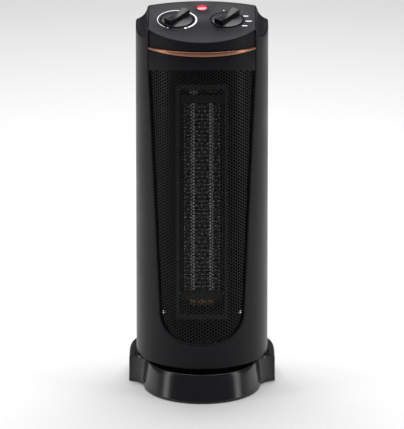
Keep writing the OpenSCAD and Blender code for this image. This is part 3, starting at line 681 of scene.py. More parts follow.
@dataclass
class Opening:
    """The U-shaped grille opening in the tower's front."""

    form: TowerForm
    taper: float = 12.6
    round_h: float = 40.0
    low_z: float = 68.6
    drop: float = 63.5
    tilt: float = 17.6
    power: float = 2.4

    def __post_init__(self) -> None:
        """Works out the opening's heights."""
        self.low_w = self.form.panel_w - self.taper
        self.join_z = self.low_z + self.round_h
        self.top_z = self.form.crest_z - self.drop
        self.top_w = self.form.panel_w + self.form.gap

    def half(self, z: float) -> float:
        """Gives half the opening's width at a height above its round bottom."""
        t = min(1.0, (z - self.join_z) / (self.top_z - self.join_z))
        return self.low_w + (self.top_w - self.low_w) * t

    def bottom(self, t: float) -> tuple[float, float]:
        """Gives a point of the round bottom.

        Args:
            t: 0 where the straight side ends, 1 at the lowest point.

        Returns:
            Half width and height.
        """
        a = math.pi / 2 * (1 - t)
        width = self.low_w * abs(math.sin(a)) ** (2 / self.power)
        return width, self.join_z - self.round_h * abs(math.cos(a)) ** (2 / self.power)

    def upper_z(self, y: float) -> float:
        """Gives the height of the opening's tilted upper edge at a place on the front."""
        return self.top_z + (self.form.end_y - y) * math.tan(math.radians(self.tilt))

    def side_s(self, width: float) -> float:
        """Turns half a width into a distance round the front."""
        return self.form.radius * math.asin(min(1.0, width / self.form.radius))


# ---------- housings ----------

@dataclass
class FrontHousing:
    """The front moulding: two rails with hollow shoulders and the cover below the grille."""

    form: TowerForm
    opening: Opening
    lip_r: float = 1.3
    lip_low_r: float = 2.4
    columns: int = 18
    top_rows: int = 9
    side_rows: int = 34
    low_rows: int = 34

    @property
    def seam_s(self) -> float:
        """Distance round the outline to the edge beside the rear housing."""
        return self.form.side_s + self.form.seam - self.form.gap / 2

    def section(self, reach: Callable[[float, float], Vector], length: float, lip: float) -> Loop:
        """Makes one closed loop from the opening's edge to the outer edge and back inside.

        Args:
            reach: gives a point at a distance from the opening's edge and a depth.
            length: the distance between the two edges.
            lip: radius of the rounded edge at the opening.

        Returns:
            The loop's points.
        """
        wall, edge = self.form.wall, min(1.0, length / 4)
        lip = min(lip, length / 4)
        loop = [reach(0.0, wall), reach(0.0, (wall + lip) / 2)]
        for a in spread(0, 90, 4):
            turn = math.radians(a)
            loop.append(reach(lip * (1 - math.cos(turn)), lip * (1 - math.sin(turn))))
        loop += [reach(e, 0.0) for e in spread(lip, length - edge, self.columns)[1:-1]]
        for a in spread(0, 90, 3):
            turn = math.radians(a)
            loop.append(reach(length - edge * (1 - math.sin(turn)), edge * (1 - math.cos(turn))))
        loop.append(reach(length, wall))
        loop += [reach(e, wall) for e in spread(length, 0.0, self.columns // 2)[1:-1]]
        return loop

    def shoulder(self, row: int, side: int) -> Loop:
        """Makes a loop over the hollow shoulder; row 0 is beside the panel."""
        form, first = self.form, self.opening.side_s(self.opening.top_w)
        last = self.seam_s
        share = row / self.top_rows

        def reach(e: float, depth: float) -> Vector:
            """Gives a point over the shoulder, or below it by a depth."""
            s = first + e
            point, inward = form.plan(s)
            inner = form.panel_w + form.gap
            if row >= self.top_rows:
                t = (row - self.top_rows + 1) / 4
                outer = Vector((point.x, point.y, form.top_z(point.x, point.y)))
                start_x = max(inner, point.x - form.edge_r)
                start = Vector((start_x, point.y, form.top_z(start_x, point.y)))
                end = outer - Vector((0, 0, form.edge_r))
                spot = start.lerp(outer, t).lerp(outer.lerp(end, t), t)
                push = Vector((inward.x * t, inward.y * t, t - 1)).normalized()
            else:
                x = inner + (max(inner, point.x - form.edge_r) - inner) * share
                spot = Vector((x, point.y, form.top_z(x, point.y)))
                push = Vector((0, 0, -1))
            spot = spot + push * depth
            return Vector((spot.x * side, spot.y, spot.z))

        return self.section(reach, last - first, self.lip_r * 0.3)

    def rail(self, t: float, side: int) -> Loop:
        """Makes a loop across one rail; t runs from its top to the round bottom's start."""
        form, opening = self.form, self.opening
        last = self.seam_s
        first_top = opening.side_s(opening.top_w)
        near = form.plan(first_top)[0]
        z0 = (form.top_z(near.x, near.y) - form.edge_r) * (1 - t) + opening.join_z * t
        first = opening.side_s(opening.half(z0))

        def reach(e: float, depth: float) -> Vector:
            """Gives a point across the rail, or below it by a depth."""
            s = first + e
            over = form.plan(max(s, first_top))[0]
            z = (form.top_z(over.x, over.y) - form.edge_r) * (1 - t) + opening.join_z * t
            spot = form.skin(s, z, depth)
            return Vector((spot.x * side, spot.y, spot.z))

        return self.section(reach, last - first, self.lip_r)

    def cover(self, t: float, side: int) -> Loop:
        """Makes a loop from the round bottom's edge to the outer edge; t is 1 in the middle."""
        form, opening = self.form, self.opening
        width, z = opening.bottom(t)
        start = Vector((opening.side_s(width), z))
        last = self.seam_s
        drop, across = opening.join_z - form.low, last
        way = t * (drop + across)
        end = Vector((last, opening.join_z - way)) if way <= drop else Vector((last - (way - drop), form.low))
        length = (end - start).length
        lip = self.lip_r + (self.lip_low_r - self.lip_r) * min(1.0, 1.6 * t)

        def reach(e: float, depth: float) -> Vector:
            """Gives a point down the cover, or below it by a depth."""
            spot2 = start.lerp(end, e / length)
            spot = form.skin(spot2.x, spot2.y, depth)
            return Vector((spot.x * side, spot.y, spot.z))

        return self.section(reach, length, lip)

    def build(self, finishes: Finishes) -> bpy.types.Object:
        """Builds the moulding.

        Args:
            finishes: the finishes to dress it with.

        Returns:
            The installed piece.
        """
        half = [self.shoulder(row, 1) for row in range(self.top_rows + 3)]
        half += [self.rail(t, 1) for t in spread(0, 1, self.side_rows)]
        drop = self.opening.join_z - self.form.low
        corner = drop / (drop + self.seam_s)
        steps = [corner * t for t in spread(0, 1, 10)[1:]]
        steps += [corner + (1 - corner) * t for t in spread(0, 1, self.low_rows)[1:]]
        half += [self.cover(t, 1) for t in steps]
        solid = Solid().sweep(half + mirrored(half[:-1])).moved(self.form.place())
        item = solid.object("front_housing_shell", [finishes.get("housing")])
        return install(item, "tower", "front_housing")


@dataclass
class RearHousing:
    """The rear moulding: sides, roof, carry grip, intake windows with slats, and recesses for its screws."""

    form: TowerForm
    grip: tuple[float, float, float] = (40.0, 24.0, 28.0)
    grip_z: float = 396.0
    window_x: float = 24.0
    window_w: float = 20.0
    window_low: float = 128.0
    window_h: float = 214.0
    slat_pitch: float = 5.6
    screw_x: tuple[float, float] = (48.0, 52.0)
    screw_z: tuple[float, float] = (62.0, 385.0)
    head_r: float = 3.3
    head_gap: float = 0.5
    recess_y: float = 46.0
    cut_in: float = 12.0
    cut_out: float = 8.0
    window_r: float = 3.0
    grip_r: float = 8.0
    grip_least_r: float = 2.0
    roof_round: float = 3.0
    pleat: float = 4.0

    def target(self, s: float) -> Vector:
        """Gives the roof's inner end for a place round the outline."""
        form = self.form
        point = form.plan(s)[0]
        inner = form.panel_w + form.gap
        side = 1 if s >= 0 else -1
        start = form.side_s + form.corner_y
        if abs(s) <= start:
            return Vector((inner * side, point.y, 0))
        share = (abs(s) - start) / (form.half_s - start)
        x = inner * (1 - share)
        return Vector((x * side, form.crest_line(x) + form.gap, 0))

    def column(self, s: float) -> Loop:
        """Makes the closed section of the moulding at one place round the outline."""
        form = self.form
        wall, round_r = form.wall, self.roof_round
        point, inward = form.plan(s)
        end = self.target(s)
        flat = Vector((end.x - point.x, end.y - point.y))
        span = flat.length
        way = flat.normalized()
        top = form.top_z(point.x, point.y)
        loop = [form.skin(s, form.low, wall), form.skin(s, form.low, 1.0), form.skin(s, form.low + 0.3, 0.3)]
        loop += [form.skin(s, z) for z in spread(form.low + 1.0, top - round_r, 26)]
        corner = Vector((point.x, point.y, top))
        low = corner - Vector((0, 0, round_r))
        lip = point + way * min(round_r, span / 3)
        high = Vector((lip.x, lip.y, form.top_z(lip.x, lip.y)))
        for t in (0.2, 0.4, 0.6, 0.8):
            loop.append(low.lerp(corner, t).lerp(corner.lerp(high, t), t))
        for t in spread(min(round_r, span / 3) / span, 1.0, 10):
            spot = point + flat * t
            loop.append(Vector((spot.x, spot.y, form.top_z(spot.x, spot.y))))
        for t in spread(1.0, wall / span, 5):
            spot = point + flat * t
            loop.append(Vector((spot.x, spot.y, form.top_z(spot.x, spot.y) - wall)))
        inner_top = form.top_z(point.x, point.y) - round_r - wall
        loop += [form.skin(s, z, wall) for z in spread(inner_top, form.low + 3, 8)]
        return loop

    def shell(self, material: bpy.types.Material) -> bpy.types.Object:
        """Makes the moulding with its grip, windows and screw recesses cut in."""
        form = self.form
        first = form.side_s + form.seam + form.gap / 2
        stops = spread(first, form.turn_s, 4) + spread(form.turn_s, form.flat_s, 22)[1:]
        stops += spread(form.flat_s, form.half_s, 10)[1:]
        loops = [self.column(s) for s in stops]
        loops += mirrored(loops[:-1])
        item = Solid().sweep(loops).moved(form.place()).object("rear_housing_shell", [material])
        cut(item, self.cutter())
        sharpen(item)
        return item

    def cutter(self) -> bpy.types.Object:
        """Makes the bodies that the windows, the grip and the screw recesses are cut with."""
        form = self.form
        solid = Solid()
        half_h = self.window_h / 2
        outlines = [(side * self.window_x, self.window_low + half_h, self.window_w, half_h, self.window_r)
                    for side in (-1, 1)]
        outlines.append((0.0, self.grip_z + self.grip[2] / 2, self.grip[0], self.grip[2] / 2, self.grip_r))
        for x, z, w, h, r in outlines:
            face = tablet((x, z), w, h, r, 5)
            solid.sweep([[(u, y, v) for u, v in face]
                         for y in (form.back - self.cut_in, form.back + self.cut_out)])
        for x, z in zip(self.screw_x, self.screw_z):
            for side in (-1, 1):
                face = arc((side * x, z), self.head_r + self.head_gap, 0, 360, 24)[:-1]
                solid.sweep([[(u, y, v) for u, v in face] for y in (self.recess_y, form.back + self.cut_out)])
        return solid.moved(form.place()).object("cutter", [])

    def pocket(self, material: bpy.types.Material) -> bpy.types.Object:
        """Makes the grip's pocket: a rounded tray with a rolled finger edge."""
        form = self.form
        width, depth, height = self.grip
        mid_z = self.grip_z + height / 2
        inside = [(0.6, 1.6), (0.9, 0.9), (1.8, 0.3), (5, 0.0), (depth - 6, -0.4),
                  (depth - 2, -2.0), (depth, -6.0)]
        outside = [(depth + 2, -4.5), (depth, 0.0), (depth - 5, 1.6), (3.2, 2.0), (2.9, 3.0), (2.9, 4.0)]
        everything = []
        for sink, grow in inside + outside:
            radius = max(self.grip_least_r, self.grip_r + grow)
            face = tablet((0, 0), width + grow, height / 2 + grow, radius, 6)
            everything.append([(u, form.back - sink, mid_z + v) for u, v in face])
        size = len(everything[0])
        faces = []
        for i in range(len(everything) - 1):
            if i == len(inside) - 1:
                continue
            for k in range(size):
                step = (k + 1) % size
                faces.append([i * size + k, i * size + step, (i + 1) * size + step, (i + 1) * size + k])
        last = len(everything) - 1
        faces += [[last * size + k, last * size + (k + 1) % size, (k + 1) % size, k] for k in range(size)]
        faces.append([(len(inside) - 1) * size + k for k in range(size)])
        faces.append([len(inside) * size + k for k in range(size)][::-1])
        solid = Solid().extend([p for loop in everything for p in loop], faces)
        return solid.moved(form.place()).object("grip_pocket", [material])

    def slats(self, material: bpy.types.Material) -> bpy.types.Object:
        """Makes the intake slats with a Geometry Nodes line of one slat."""
        form = self.form
        profile = rounded([(-2.1, -0.2), (1.7, 1.5), (2.1, 0.9), (-1.7, -0.9)], [0.2] * 4, 2)
        half = self.window_w + 1.0
        slat = Solid().sweep([[(x, form.back - 2.4 + u, v) for u, v in profile]
                              for x in (-half, -half / 2, 0, half / 2, half)])
        item = slat.moved(form.place()).object("intake_slats", [material])
        tree, start, end = new_tree("slat_rows", {
            "Pitch": ("NodeSocketFloat", 0.0056), "Rows": ("NodeSocketInt", 38),
            "First": ("NodeSocketFloat", 0.13), "Side": ("NodeSocketFloat", 0.024),
            "Finish": ("NodeSocketMaterial", None)})
        step = add(tree, "ShaderNodeCombineXYZ", None, Z=start.outputs["Pitch"])
        parts = []
        for side in (-1, 1):
            shift = add(tree, "ShaderNodeMath", {"operation": "MULTIPLY"}, i0=start.outputs["Side"], i1=side)
            first = add(tree, "ShaderNodeCombineXYZ", None, X=shift.outputs[0], Z=start.outputs["First"])
            line = add(tree, "GeometryNodeMeshLine", {"mode": "OFFSET"}, Count=start.outputs["Rows"],
                       Start_Location=first.outputs[0], Offset=step.outputs[0])
            rows = add(tree, "GeometryNodeInstanceOnPoints", None, Points=line.outputs[0],
                       Instance=start.outputs["Geometry"])
            parts.append(rows.outputs["Instances"])
        join = add(tree, "GeometryNodeJoinGeometry")
        for part in parts:
            tree.links.new(part, join.inputs[0])
        real = add(tree, "GeometryNodeRealizeInstances", None, Geometry=join.outputs[0])
        dress = add(tree, "GeometryNodeSetMaterial", None, Geometry=real.outputs[0],
                    Material=start.outputs["Finish"])
        tree.links.new(dress.outputs[0], end.inputs[0])
        return from_modifier(item, tree, {
            "Pitch": self.slat_pitch * MM, "Rows": int(self.window_h / self.slat_pitch),
            "Side": self.window_x * MM, "First": (self.window_low + self.slat_pitch / 2) * MM,
            "Finish": material})

    def filter(self, material: bpy.types.Material) -> bpy.types.Object:
        """Makes the pleated dust filter behind the slats."""
        low, high = self.window_low - 3, self.window_low + self.window_h + 3
        half = self.window_x + self.window_w + 3
        pleats = 2 * int((high - low) / self.pleat)
        face = [(self.form.back - 6.4 - 1.2 * (i % 2), z) for i, z in enumerate(spread(low, high, pleats))]
        face += [(y - 0.8, z) for y, z in reversed(face)]
        solid = Solid().sweep([[(x, y, z) for y, z in face] for x in spread(-half, half, 6)])
        return solid.moved(self.form.place()).object("dust_filter", [material], crease=20)

    def build(self, finishes: Finishes) -> list[bpy.types.Object]:
        """Builds the shell, its pocket, its slats and its filter.

        Args:
            finishes: the finishes to dress them with.

        Returns:
            The installed pieces.
        """
        material = finishes.get("housing")
        shell = install(self.shell(material), "tower", "rear_housing")
        pocket = install(self.pocket(material), "tower", slot="housing_plastic")
        slats = install(self.slats(material), "tower", slot="housing_plastic")
        sheet = install(self.filter(finishes.get("felt")), "tower", slot="housing_plastic")
        return [shell, pocket, slats, sheet]


# ---------- band, fascia and grille ----------

@dataclass
class FrontTrim:
    """The copper band and the fascia between the panel and the grille."""

    form: TowerForm
    opening: Opening
    band_drop: float = 37.5
    band_h: float = 2.7
    band_tilt: float = 4.8
    band_proud: float = 0.2
    band_thick: float = 3.0
    band_round: float = 0.9
    strip_set: float = 0.4
    strip_thick: float = 2.6
    strip_round: float = 0.7
    columns: int = 72

    def angles(self, inset: float) -> list[float]:
        """Gives the angles round the front between the rails, from left to right."""
        last = math.asin((self.form.panel_w - inset) / self.form.radius)
        return spread(-last, last, self.columns)

    def loop(self, a: float, low: float, high: float, outer: float, thick: float, round_r: float) -> Loop:
        """Makes one upright section with rounded outer edges."""
        r = min(round_r, (high - low) / 2.01)
        corners = [(outer - thick, low), (outer, low), (outer, high), (outer - thick, high)]
        flat = rounded(corners, [0, r, r, 0], 4)
        return [Vector((rad * math.sin(a), -rad * math.cos(a), z)) for rad, z in flat]

    def band_top(self, a: float) -> float:
        """Gives the height of the band's tilted upper edge at an angle round the front."""
        low = self.form.crest_z - self.band_drop
        y = -self.form.radius * math.cos(a)
        return low + self.band_h + (self.form.end_y - y) * math.tan(math.radians(self.band_tilt))

    def build(self, finishes: Finishes) -> list[bpy.types.Object]:
        """Builds both strips.

        Args:
            finishes: the finishes to dress them with.

        Returns:
            The installed pieces.
        """
        form = self.form
        low = form.crest_z - self.band_drop
        band = Solid().sweep([self.loop(a, low, self.band_top(a), form.radius + self.band_proud,
                                        self.band_thick, self.band_round) for a in self.angles(0.1)])
        strip = Solid().sweep([
            self.loop(a, self.opening.upper_z(-form.radius * math.cos(a)), low - form.gap,
                      form.radius - self.strip_set, self.strip_thick, self.strip_round)
            for a in self.angles(0.5)])
        return [
            install(band.moved(form.place()).object("copper_band", [finishes.get("copper")]),
                    "tower", "trim_band"),
            install(strip.moved(form.place()).object("grille_fascia", [finishes.get("panel")]),
                    "tower", "fascia")]


@dataclass
class Grille:
    """The curved steel grille: round holes in a hexagonal pattern, and a plain rim behind the housing."""

    form: TowerForm
    opening: Opening
    row_pitch: float = 3.96
    column_pitch: float = 3.31
    hole_r: float = 1.45
    sheet: float = 0.8
    hole_sides: int = 10
    lap: float = 3.0

    def cell(self, material: bpy.types.Material) -> bpy.types.Object:
        """Makes one hexagonal cell of the flat sheet with its hole; z is the sheet's thickness."""
        outer = [(0.5 * self.column_pitch * 4 / 3 * math.cos(math.radians(60 * i)),
                  self.row_pitch / 2 / math.cos(math.radians(30)) * math.sin(math.radians(60 * i)))
                 for i in range(6)]
        hole = arc((0, 0), self.hole_r, 0, 360, self.hole_sides)[:-1]
        loops = outer + hole
        edges = [(i, (i + 1) % 6) for i in range(6)]
        edges += [(6 + i, 6 + (i + 1) % self.hole_sides) for i in range(self.hole_sides)]
        flat = delaunay_2d_cdt([Vector(p) for p in loops], edges, [], 1, 1e-5)
        keep = [f for f in flat[2]
                if sum((flat[0][i] for i in f), Vector((0, 0))).length / 3 > self.hole_r * 0.93]
        keep = [f for f in keep if not all(i >= 6 for i in f)]
        count = len(flat[0])
        verts = [(p.x, p.y, 0.0) for p in flat[0]] + [(p.x, p.y, -self.sheet) for p in flat[0]]
        faces = [list(f) for f in keep] + [[i + count for i in f][::-1] for f in keep]
        for i in range(self.hole_sides):
            a, b = 6 + i, 6 + (i + 1) % self.hole_sides
            faces.append([a, b, b + count, a + count])
        mesh = bpy.data.meshes.new("grille_cell")
        mesh.from_pydata([(x * MM, y * MM, z * MM) for x, y, z in verts], [], faces)
        mesh.materials.append(material)
        item = bpy.data.objects.new("perforated_grille", mesh)
        bpy.context.scene.collection.objects.link(item)
        return item

    def tree(self) -> bpy.types.NodeTree:
        """Builds the tree: a hexagonal field of cells, trimmed to the U and wrapped round the front."""
        sizes = {"Column_Pitch": 0.0033, "Row_Pitch": 0.004, "Radius": 0.074, "Low_Width": 0.05,
                 "Top_Width": 0.064, "Join": 0.1, "Top": 0.4, "Round": 0.043, "Power": 2.4, "Slope": 0.3,
                 "End_Y": -0.04, "Low": 0.06}
        tree, start, end = new_tree("perforation", {
            "Columns": ("NodeSocketInt", 47), "Rows": ("NodeSocketInt", 90),
            **{name: ("NodeSocketFloat", value) for name, value in sizes.items()},
            "Finish": ("NodeSocketMaterial", None)})
        given = start.outputs

        def calc(operation: str, a: object, b: object = 0.0, c: object = 0.0) -> bpy.types.NodeSocket:
            """Adds a Math node and gives its result."""
            return add(tree, "ShaderNodeMath", {"operation": operation}, i0=a, i1=b, i2=c).outputs[0]

        total = calc("MULTIPLY", given["Columns"], given["Rows"])
        points = add(tree, "GeometryNodePoints", None, Count=total)
        index = add(tree, "GeometryNodeInputIndex").outputs[0]
        row = calc("FLOOR", calc("DIVIDE", index, given["Columns"]))
        column = calc("SUBTRACT", index, calc("MULTIPLY", row, given["Columns"]))
        middle = calc("DIVIDE", calc("SUBTRACT", given["Columns"], 1.0), 2.0)
        s = calc("MULTIPLY", calc("SUBTRACT", column, middle), given["Column_Pitch"])
        odd = calc("MULTIPLY", calc("MODULO", column, 2.0), 0.5)
        z = calc("ADD", calc("MULTIPLY", calc("ADD", row, odd), given["Row_Pitch"]), given["Low"])
        spot = add(tree, "ShaderNodeCombineXYZ", None, X=s, Y=z).outputs[0]
        placed = add(tree, "GeometryNodeSetPosition", None, Geometry=points.outputs[0],
                     Position=spot).outputs[0]
        where = add(tree, "GeometryNodeInputPosition").outputs[0]
        apart = add(tree, "ShaderNodeSeparateXYZ", None, Vector=where)
        angle = calc("DIVIDE", apart.outputs["X"], given["Radius"])
        x = calc("ABSOLUTE", calc("MULTIPLY", calc("SINE", angle), given["Radius"]))
        y = calc("MULTIPLY", calc("COSINE", angle), calc("MULTIPLY", given["Radius"], -1.0))
        height = apart.outputs["Y"]
        share = calc("DIVIDE", calc("SUBTRACT", height, given["Join"]),
                     calc("SUBTRACT", given["Top"], given["Join"]))
        wide = calc("MULTIPLY_ADD", share, calc("SUBTRACT", given["Top_Width"], given["Low_Width"]),
                    given["Low_Width"])
        off_side = calc("GREATER_THAN", x, wide)
        depth = calc("MAXIMUM", calc("DIVIDE", calc("SUBTRACT", given["Join"], height), given["Round"]), 0.0)
        reach = calc("ADD", calc("POWER", calc("DIVIDE", x, given["Low_Width"]), given["Power"]),
                     calc("POWER", depth, given["Power"]))
        off_round = calc("MULTIPLY", calc("GREATER_THAN", reach, 1.0), calc("GREATER_THAN", depth, 0.0))
        roof = calc("MULTIPLY_ADD", calc("SUBTRACT", given["End_Y"], y), given["Slope"], given["Top"])
        off_top = calc("GREATER_THAN", height, roof)
        drop = calc("GREATER_THAN", calc("ADD", calc("ADD", off_side, off_round), off_top), 0.5)
        kept = add(tree, "GeometryNodeDeleteGeometry", {"domain": "POINT"}, Geometry=placed, Selection=drop)
        cells = add(tree, "GeometryNodeInstanceOnPoints", None, Points=kept.outputs[0],
                    Instance=start.outputs["Geometry"])
        real = add(tree, "GeometryNodeRealizeInstances", None, Geometry=cells.outputs[0])
        weld = add(tree, "GeometryNodeMergeByDistance", None, Geometry=real.outputs[0], Distance=2e-5)
        at = add(tree, "ShaderNodeSeparateXYZ", None, Vector=add(tree, "GeometryNodeInputPosition").outputs[0])
        turn = calc("DIVIDE", at.outputs["X"], given["Radius"])
        out = calc("ADD", given["Radius"], at.outputs["Z"])
        wrap = add(tree, "ShaderNodeCombineXYZ", None, X=calc("MULTIPLY", calc("SINE", turn), out),
                   Y=calc("MULTIPLY", calc("COSINE", turn), calc("MULTIPLY", out, -1.0)), Z=at.outputs["Y"])
        curved = add(tree, "GeometryNodeSetPosition", None, Geometry=weld.outputs[0], Position=wrap.outputs[0])
        dress = add(tree, "GeometryNodeSetMaterial", None, Geometry=curved.outputs[0],
                    Material=start.outputs["Finish"])
        tree.links.new(dress.outputs[0], end.inputs[0])
        return tree

    def rim(self, material: bpy.types.Material) -> bpy.types.Object:
        """Makes the plain border strip that follows the U behind the housing."""
        form, opening = self.form, self.opening
        inner, outer, radius = -0.4, self.lap, form.radius - form.wall - 0.25
        top = opening.upper_z(form.end_y) + 3
        path = [(opening.half(z), z, 0.0) for z in spread(top, opening.join_z, 30)]
        path += [(*opening.bottom(t), t) for t in spread(0, 1, 24)[1:]]
        loops = []
        for side in (1, -1):
            part = []
            for i, (width, z, _) in enumerate(path):
                before, after = path[max(0, i - 1)], path[min(len(path) - 1, i + 1)]
                run = Vector((after[0] - before[0], after[1] - before[1])).normalized()
                out = Vector((-run.y, run.x))
                if i == len(path) - 1:
                    out = Vector((0.0, -1.0))
                loop = []
                for e, depth in ((inner, 0.0), (outer, 0.0), (outer, self.sheet), (inner, self.sheet)):
                    x, height = width + out.x * e, z + out.y * e
                    a = math.asin(max(-1.0, min(1.0, x / form.radius)))
                    r = radius - depth
                    loop.append(Vector((side * r * math.sin(a), -r * math.cos(a), height)))
                part.append(loop)
            loops += part if side == 1 else part[-2::-1]
        return Solid().sweep(loops).moved(form.place()).object("grille_rim", [material])

    def build(self, finishes: Finishes) -> list[bpy.types.Object]:
        """Builds the perforated sheet and its rim.

        Args:
            finishes: the finishes to dress them with.

        Returns:
            The installed pieces.
        """
        material = finishes.get("grille")
        form, opening = self.form, self.opening
        radius = form.radius - form.wall - 0.2
        columns = 2 * int(opening.side_s(opening.top_w) / self.column_pitch) + 3
        rows = int((opening.upper_z(-form.radius) - opening.low_z) / self.row_pitch) + 4
        item = from_modifier(self.cell(material), self.tree(), {
            "Columns": columns, "Rows": rows, "Column_Pitch": self.column_pitch * MM,
            "Row_Pitch": self.row_pitch * MM, "Radius": radius * MM, "Low_Width": (opening.low_w + 1.2) * MM,
            "Top_Width": (opening.top_w + 0.2) * MM, "Join": opening.join_z * MM,
            "Top": (opening.top_z + 1.5) * MM, "Round": (opening.round_h + 1.2) * MM,
            "Power": opening.power, "Slope": math.tan(math.radians(opening.tilt)), "End_Y": form.end_y * MM,
            "Low": (opening.low_z - 3) * MM, "Finish": material})
        item.data.transform(Matrix.Translation((0, form.axis_y * MM, 0)))
        sharpen(item, 40)
        return [install(item, "tower", "front_grille"),
                install(self.rim(material), "tower", slot="grille_steel")]


# ---------- control panel ----------

@dataclass
class ControlPanel:
    """The sloping panel with two knob recesses, a lens hole and printed marks."""

    form: TowerForm
    trim: FrontTrim
    front_set: float = 1.6
    knob_x: float = 29.5
    knob_v: float = 47.0
    recess_r: float = 20.0
    recess: float = 2.0
    lens_v: float = 16.6
    lens_hole: float = 6.45
    edge: float = 1.1
    scale_r: float = 23.0
    scale_from: float = 216.0
    scale_turn: float = 290.0
    scale_half: float = 0.25
    scale_gain: float = 0.85
    bar_half: float = 0.75
    ink_h: float = 0.05
    wall: float = 1.6

    def frame(self) -> Matrix:
        """Gives the move from the panel's own frame to the model's: Z square to the panel."""
        form = self.form
        return (form.place() @ Matrix.Translation((0, form.crest_y, form.crest_z))
                @ Matrix.Rotation(math.radians(form.slope), 4, "X"))

    def outline(self) -> list[tuple[Vector, Vector]]:
        """Gives the panel's outline seen from above with the direction inwards at each point."""
        form = self.form
        w, r, back = form.panel_w, form.radius - self.front_set, form.back_r
        front = math.degrees(math.asin(w / r))
        rear = math.degrees(math.asin(w / back))
        points = arc((0, 0), r, -90 - front, -90 + front, 60)
        points += [(w, y) for y in spread(points[-1][1], form.corner_y, 12)[1:-1]]
        points += arc((0, form.crest_y - back), back, 90 - rear, 90 + rear, 40)
        points += [(-w, y) for y in spread(form.corner_y, points[0][1], 12)[1:-1]]
        result = []
        count = len(points)
        for i, p in enumerate(points):
            ahead = Vector(points[(i + 1) % count]) - Vector(p)
            behind = Vector(p) - Vector(points[i - 1])
            run = (ahead.normalized() + behind.normalized()).normalized()
            turn = math.sqrt(max(0.2, (1 + ahead.normalized().dot(behind.normalized())) / 2))
            result.append((Vector(p), Vector((-run.y, run.x)) / turn))
        return result

    def top(self, point: Vector) -> float:
        """Gives the panel's height over a point."""
        return self.form.crest_z - (self.form.crest_y - point.y) * self.form.rise

    def body(self) -> Solid:
        """Makes the panel's skin: flat top, rounded edge, side walls and knob recesses."""
        form = self.form
        outline = self.outline()
        rings = []
        for a in spread(0, 90, 4):
            turn = math.radians(a)
            inset, sink = self.edge * (1 - math.sin(turn)), self.edge * (1 - math.cos(turn))
            rings.append([(*(p + n * inset), self.top(p) - sink) for p, n in outline])
        low = form.crest_z - self.trim.band_drop + self.trim.band_h + form.gap
        for share in (0.35, 0.7, 1.0):
            ring = []
            for p, _ in outline:
                bottom = low + max(0.0, form.end_y - p.y) * math.tan(math.radians(self.trim.band_tilt))
                ring.append((p.x, p.y, self.top(p) - self.edge + (bottom - self.top(p) + self.edge) * share))
            rings.append(ring)
        solid = Solid().sweep(rings, caps=False)
        back = self.frame().inverted()
        plane = [back @ form.place() @ Vector(p) for p in rings[0]]
        loops = [[Vector((p.x, p.y)) for p in plane]]
        holes = [(side * self.knob_x, -self.knob_v, self.recess_r + 0.6) for side in (-1, 1)]
        holes.append((0.0, -self.lens_v, self.lens_hole + 0.3))
        loops += [[Vector(p) for p in arc((x, y), r, 0, 360, 64)[:-1]] for x, y, r in holes]
        verts = [p for loop in loops for p in loop]
        edges, start = [], 0
        for loop in loops:
            edges += [(start + i, start + (i + 1) % len(loop)) for i in range(len(loop))]
            start += len(loop)
        flat = delaunay_2d_cdt(verts, edges, [], 1, 1e-5)
        keep = []
        for face in flat[2]:
            mid = sum((flat[0][i] for i in face), Vector((0, 0))) / len(face)
            if all((mid - Vector((x, y))).length > r * 0.999 for x, y, r in holes):
                keep.append(face)
        to_axis = form.place().inverted() @ self.frame()
        solid.extend([to_axis @ Vector((p.x, p.y, 0)) for p in flat[0]], keep)
        for x, y, r in holes[:2]:
            profile = [(r, 0.0), (r - 0.18, -0.08), (r - 0.42, -0.25), (r - 0.6, -0.6),
                       (r - 0.6, -self.recess + 0.5), (r - 0.8, -self.recess + 0.15),
                       (r - 1.2, -self.recess), (r - 8, -self.recess), (6.0, -self.recess)]
            self.dish(solid, to_axis, x, y, profile)
        x, y, r = holes[2]
        self.dish(solid, to_axis, x, y, [(r, 0.0), (r - 0.15, -0.07), (r - 0.3, -0.3), (r - 0.3, -2.2)])
        return solid

    def dish(self, solid: Solid, move: Matrix, x: float, y: float, profile: Sequence[Point]) -> None:
        """Adds an open round recess at a place on the panel."""
        loops = [[move @ Vector((x + r * math.cos(a), y + r * math.sin(a), z))
                  for a in spread(0, 2 * math.pi, 64)[:-1]] for r, z in profile]
        solid.sweep(loops, caps=False)

    def marks(self) -> Solid:
        """Makes the printed scale round one knob and the marks round the other."""
        solid = Solid()

        def polar(side: int, radius: float, clock: float) -> Vector:
            """Gives a place round a knob, from its distance and clock angle in degrees."""
            a = math.radians(90 - clock)
            return Vector((side * self.knob_x + radius * math.cos(a), -self.knob_v + radius * math.sin(a)))

        def plate(outline: list[Vector]) -> None:
            """Prints one flat shape."""
            solid.sweep([[(p.x, p.y, z) for p in outline] for z in (-0.02, self.ink_h)])

        clocks = spread(self.scale_from, self.scale_from + self.scale_turn, 72)
        halves = [self.scale_half + self.scale_gain * (c - self.scale_from) / self.scale_turn for c in clocks]
        outer = [polar(-1, self.scale_r + h, c) for h, c in zip(halves, clocks)]
        inner = [polar(-1, self.scale_r - h, c) for h, c in zip(halves, clocks)]
        for i in range(len(clocks) - 1):
            plate([outer[i], outer[i + 1], inner[i + 1], inner[i]])
        for side, radius, clock, dot in ((-1, self.scale_r, 208, 0.9), (-1, self.scale_r, 514, 1.7),
                                         (1, self.scale_r + 0.4, -9, 0.9)):
            mid = polar(side, radius, clock)
            plate([Vector(p) for p in arc(mid, dot, 0, 360, 20)[:-1]])
        for clock, start, length in ((68, 20.9, 5.8), (98, 22.2, 7.2), (126, 22.6, 6.2)):
            mid, w = polar(1, start + length / 2, clock), self.bar_half
            plate([Vector(p) for p in tablet(mid, length / 2, w, w * 0.98, 4)])
        return solid.moved(self.frame())

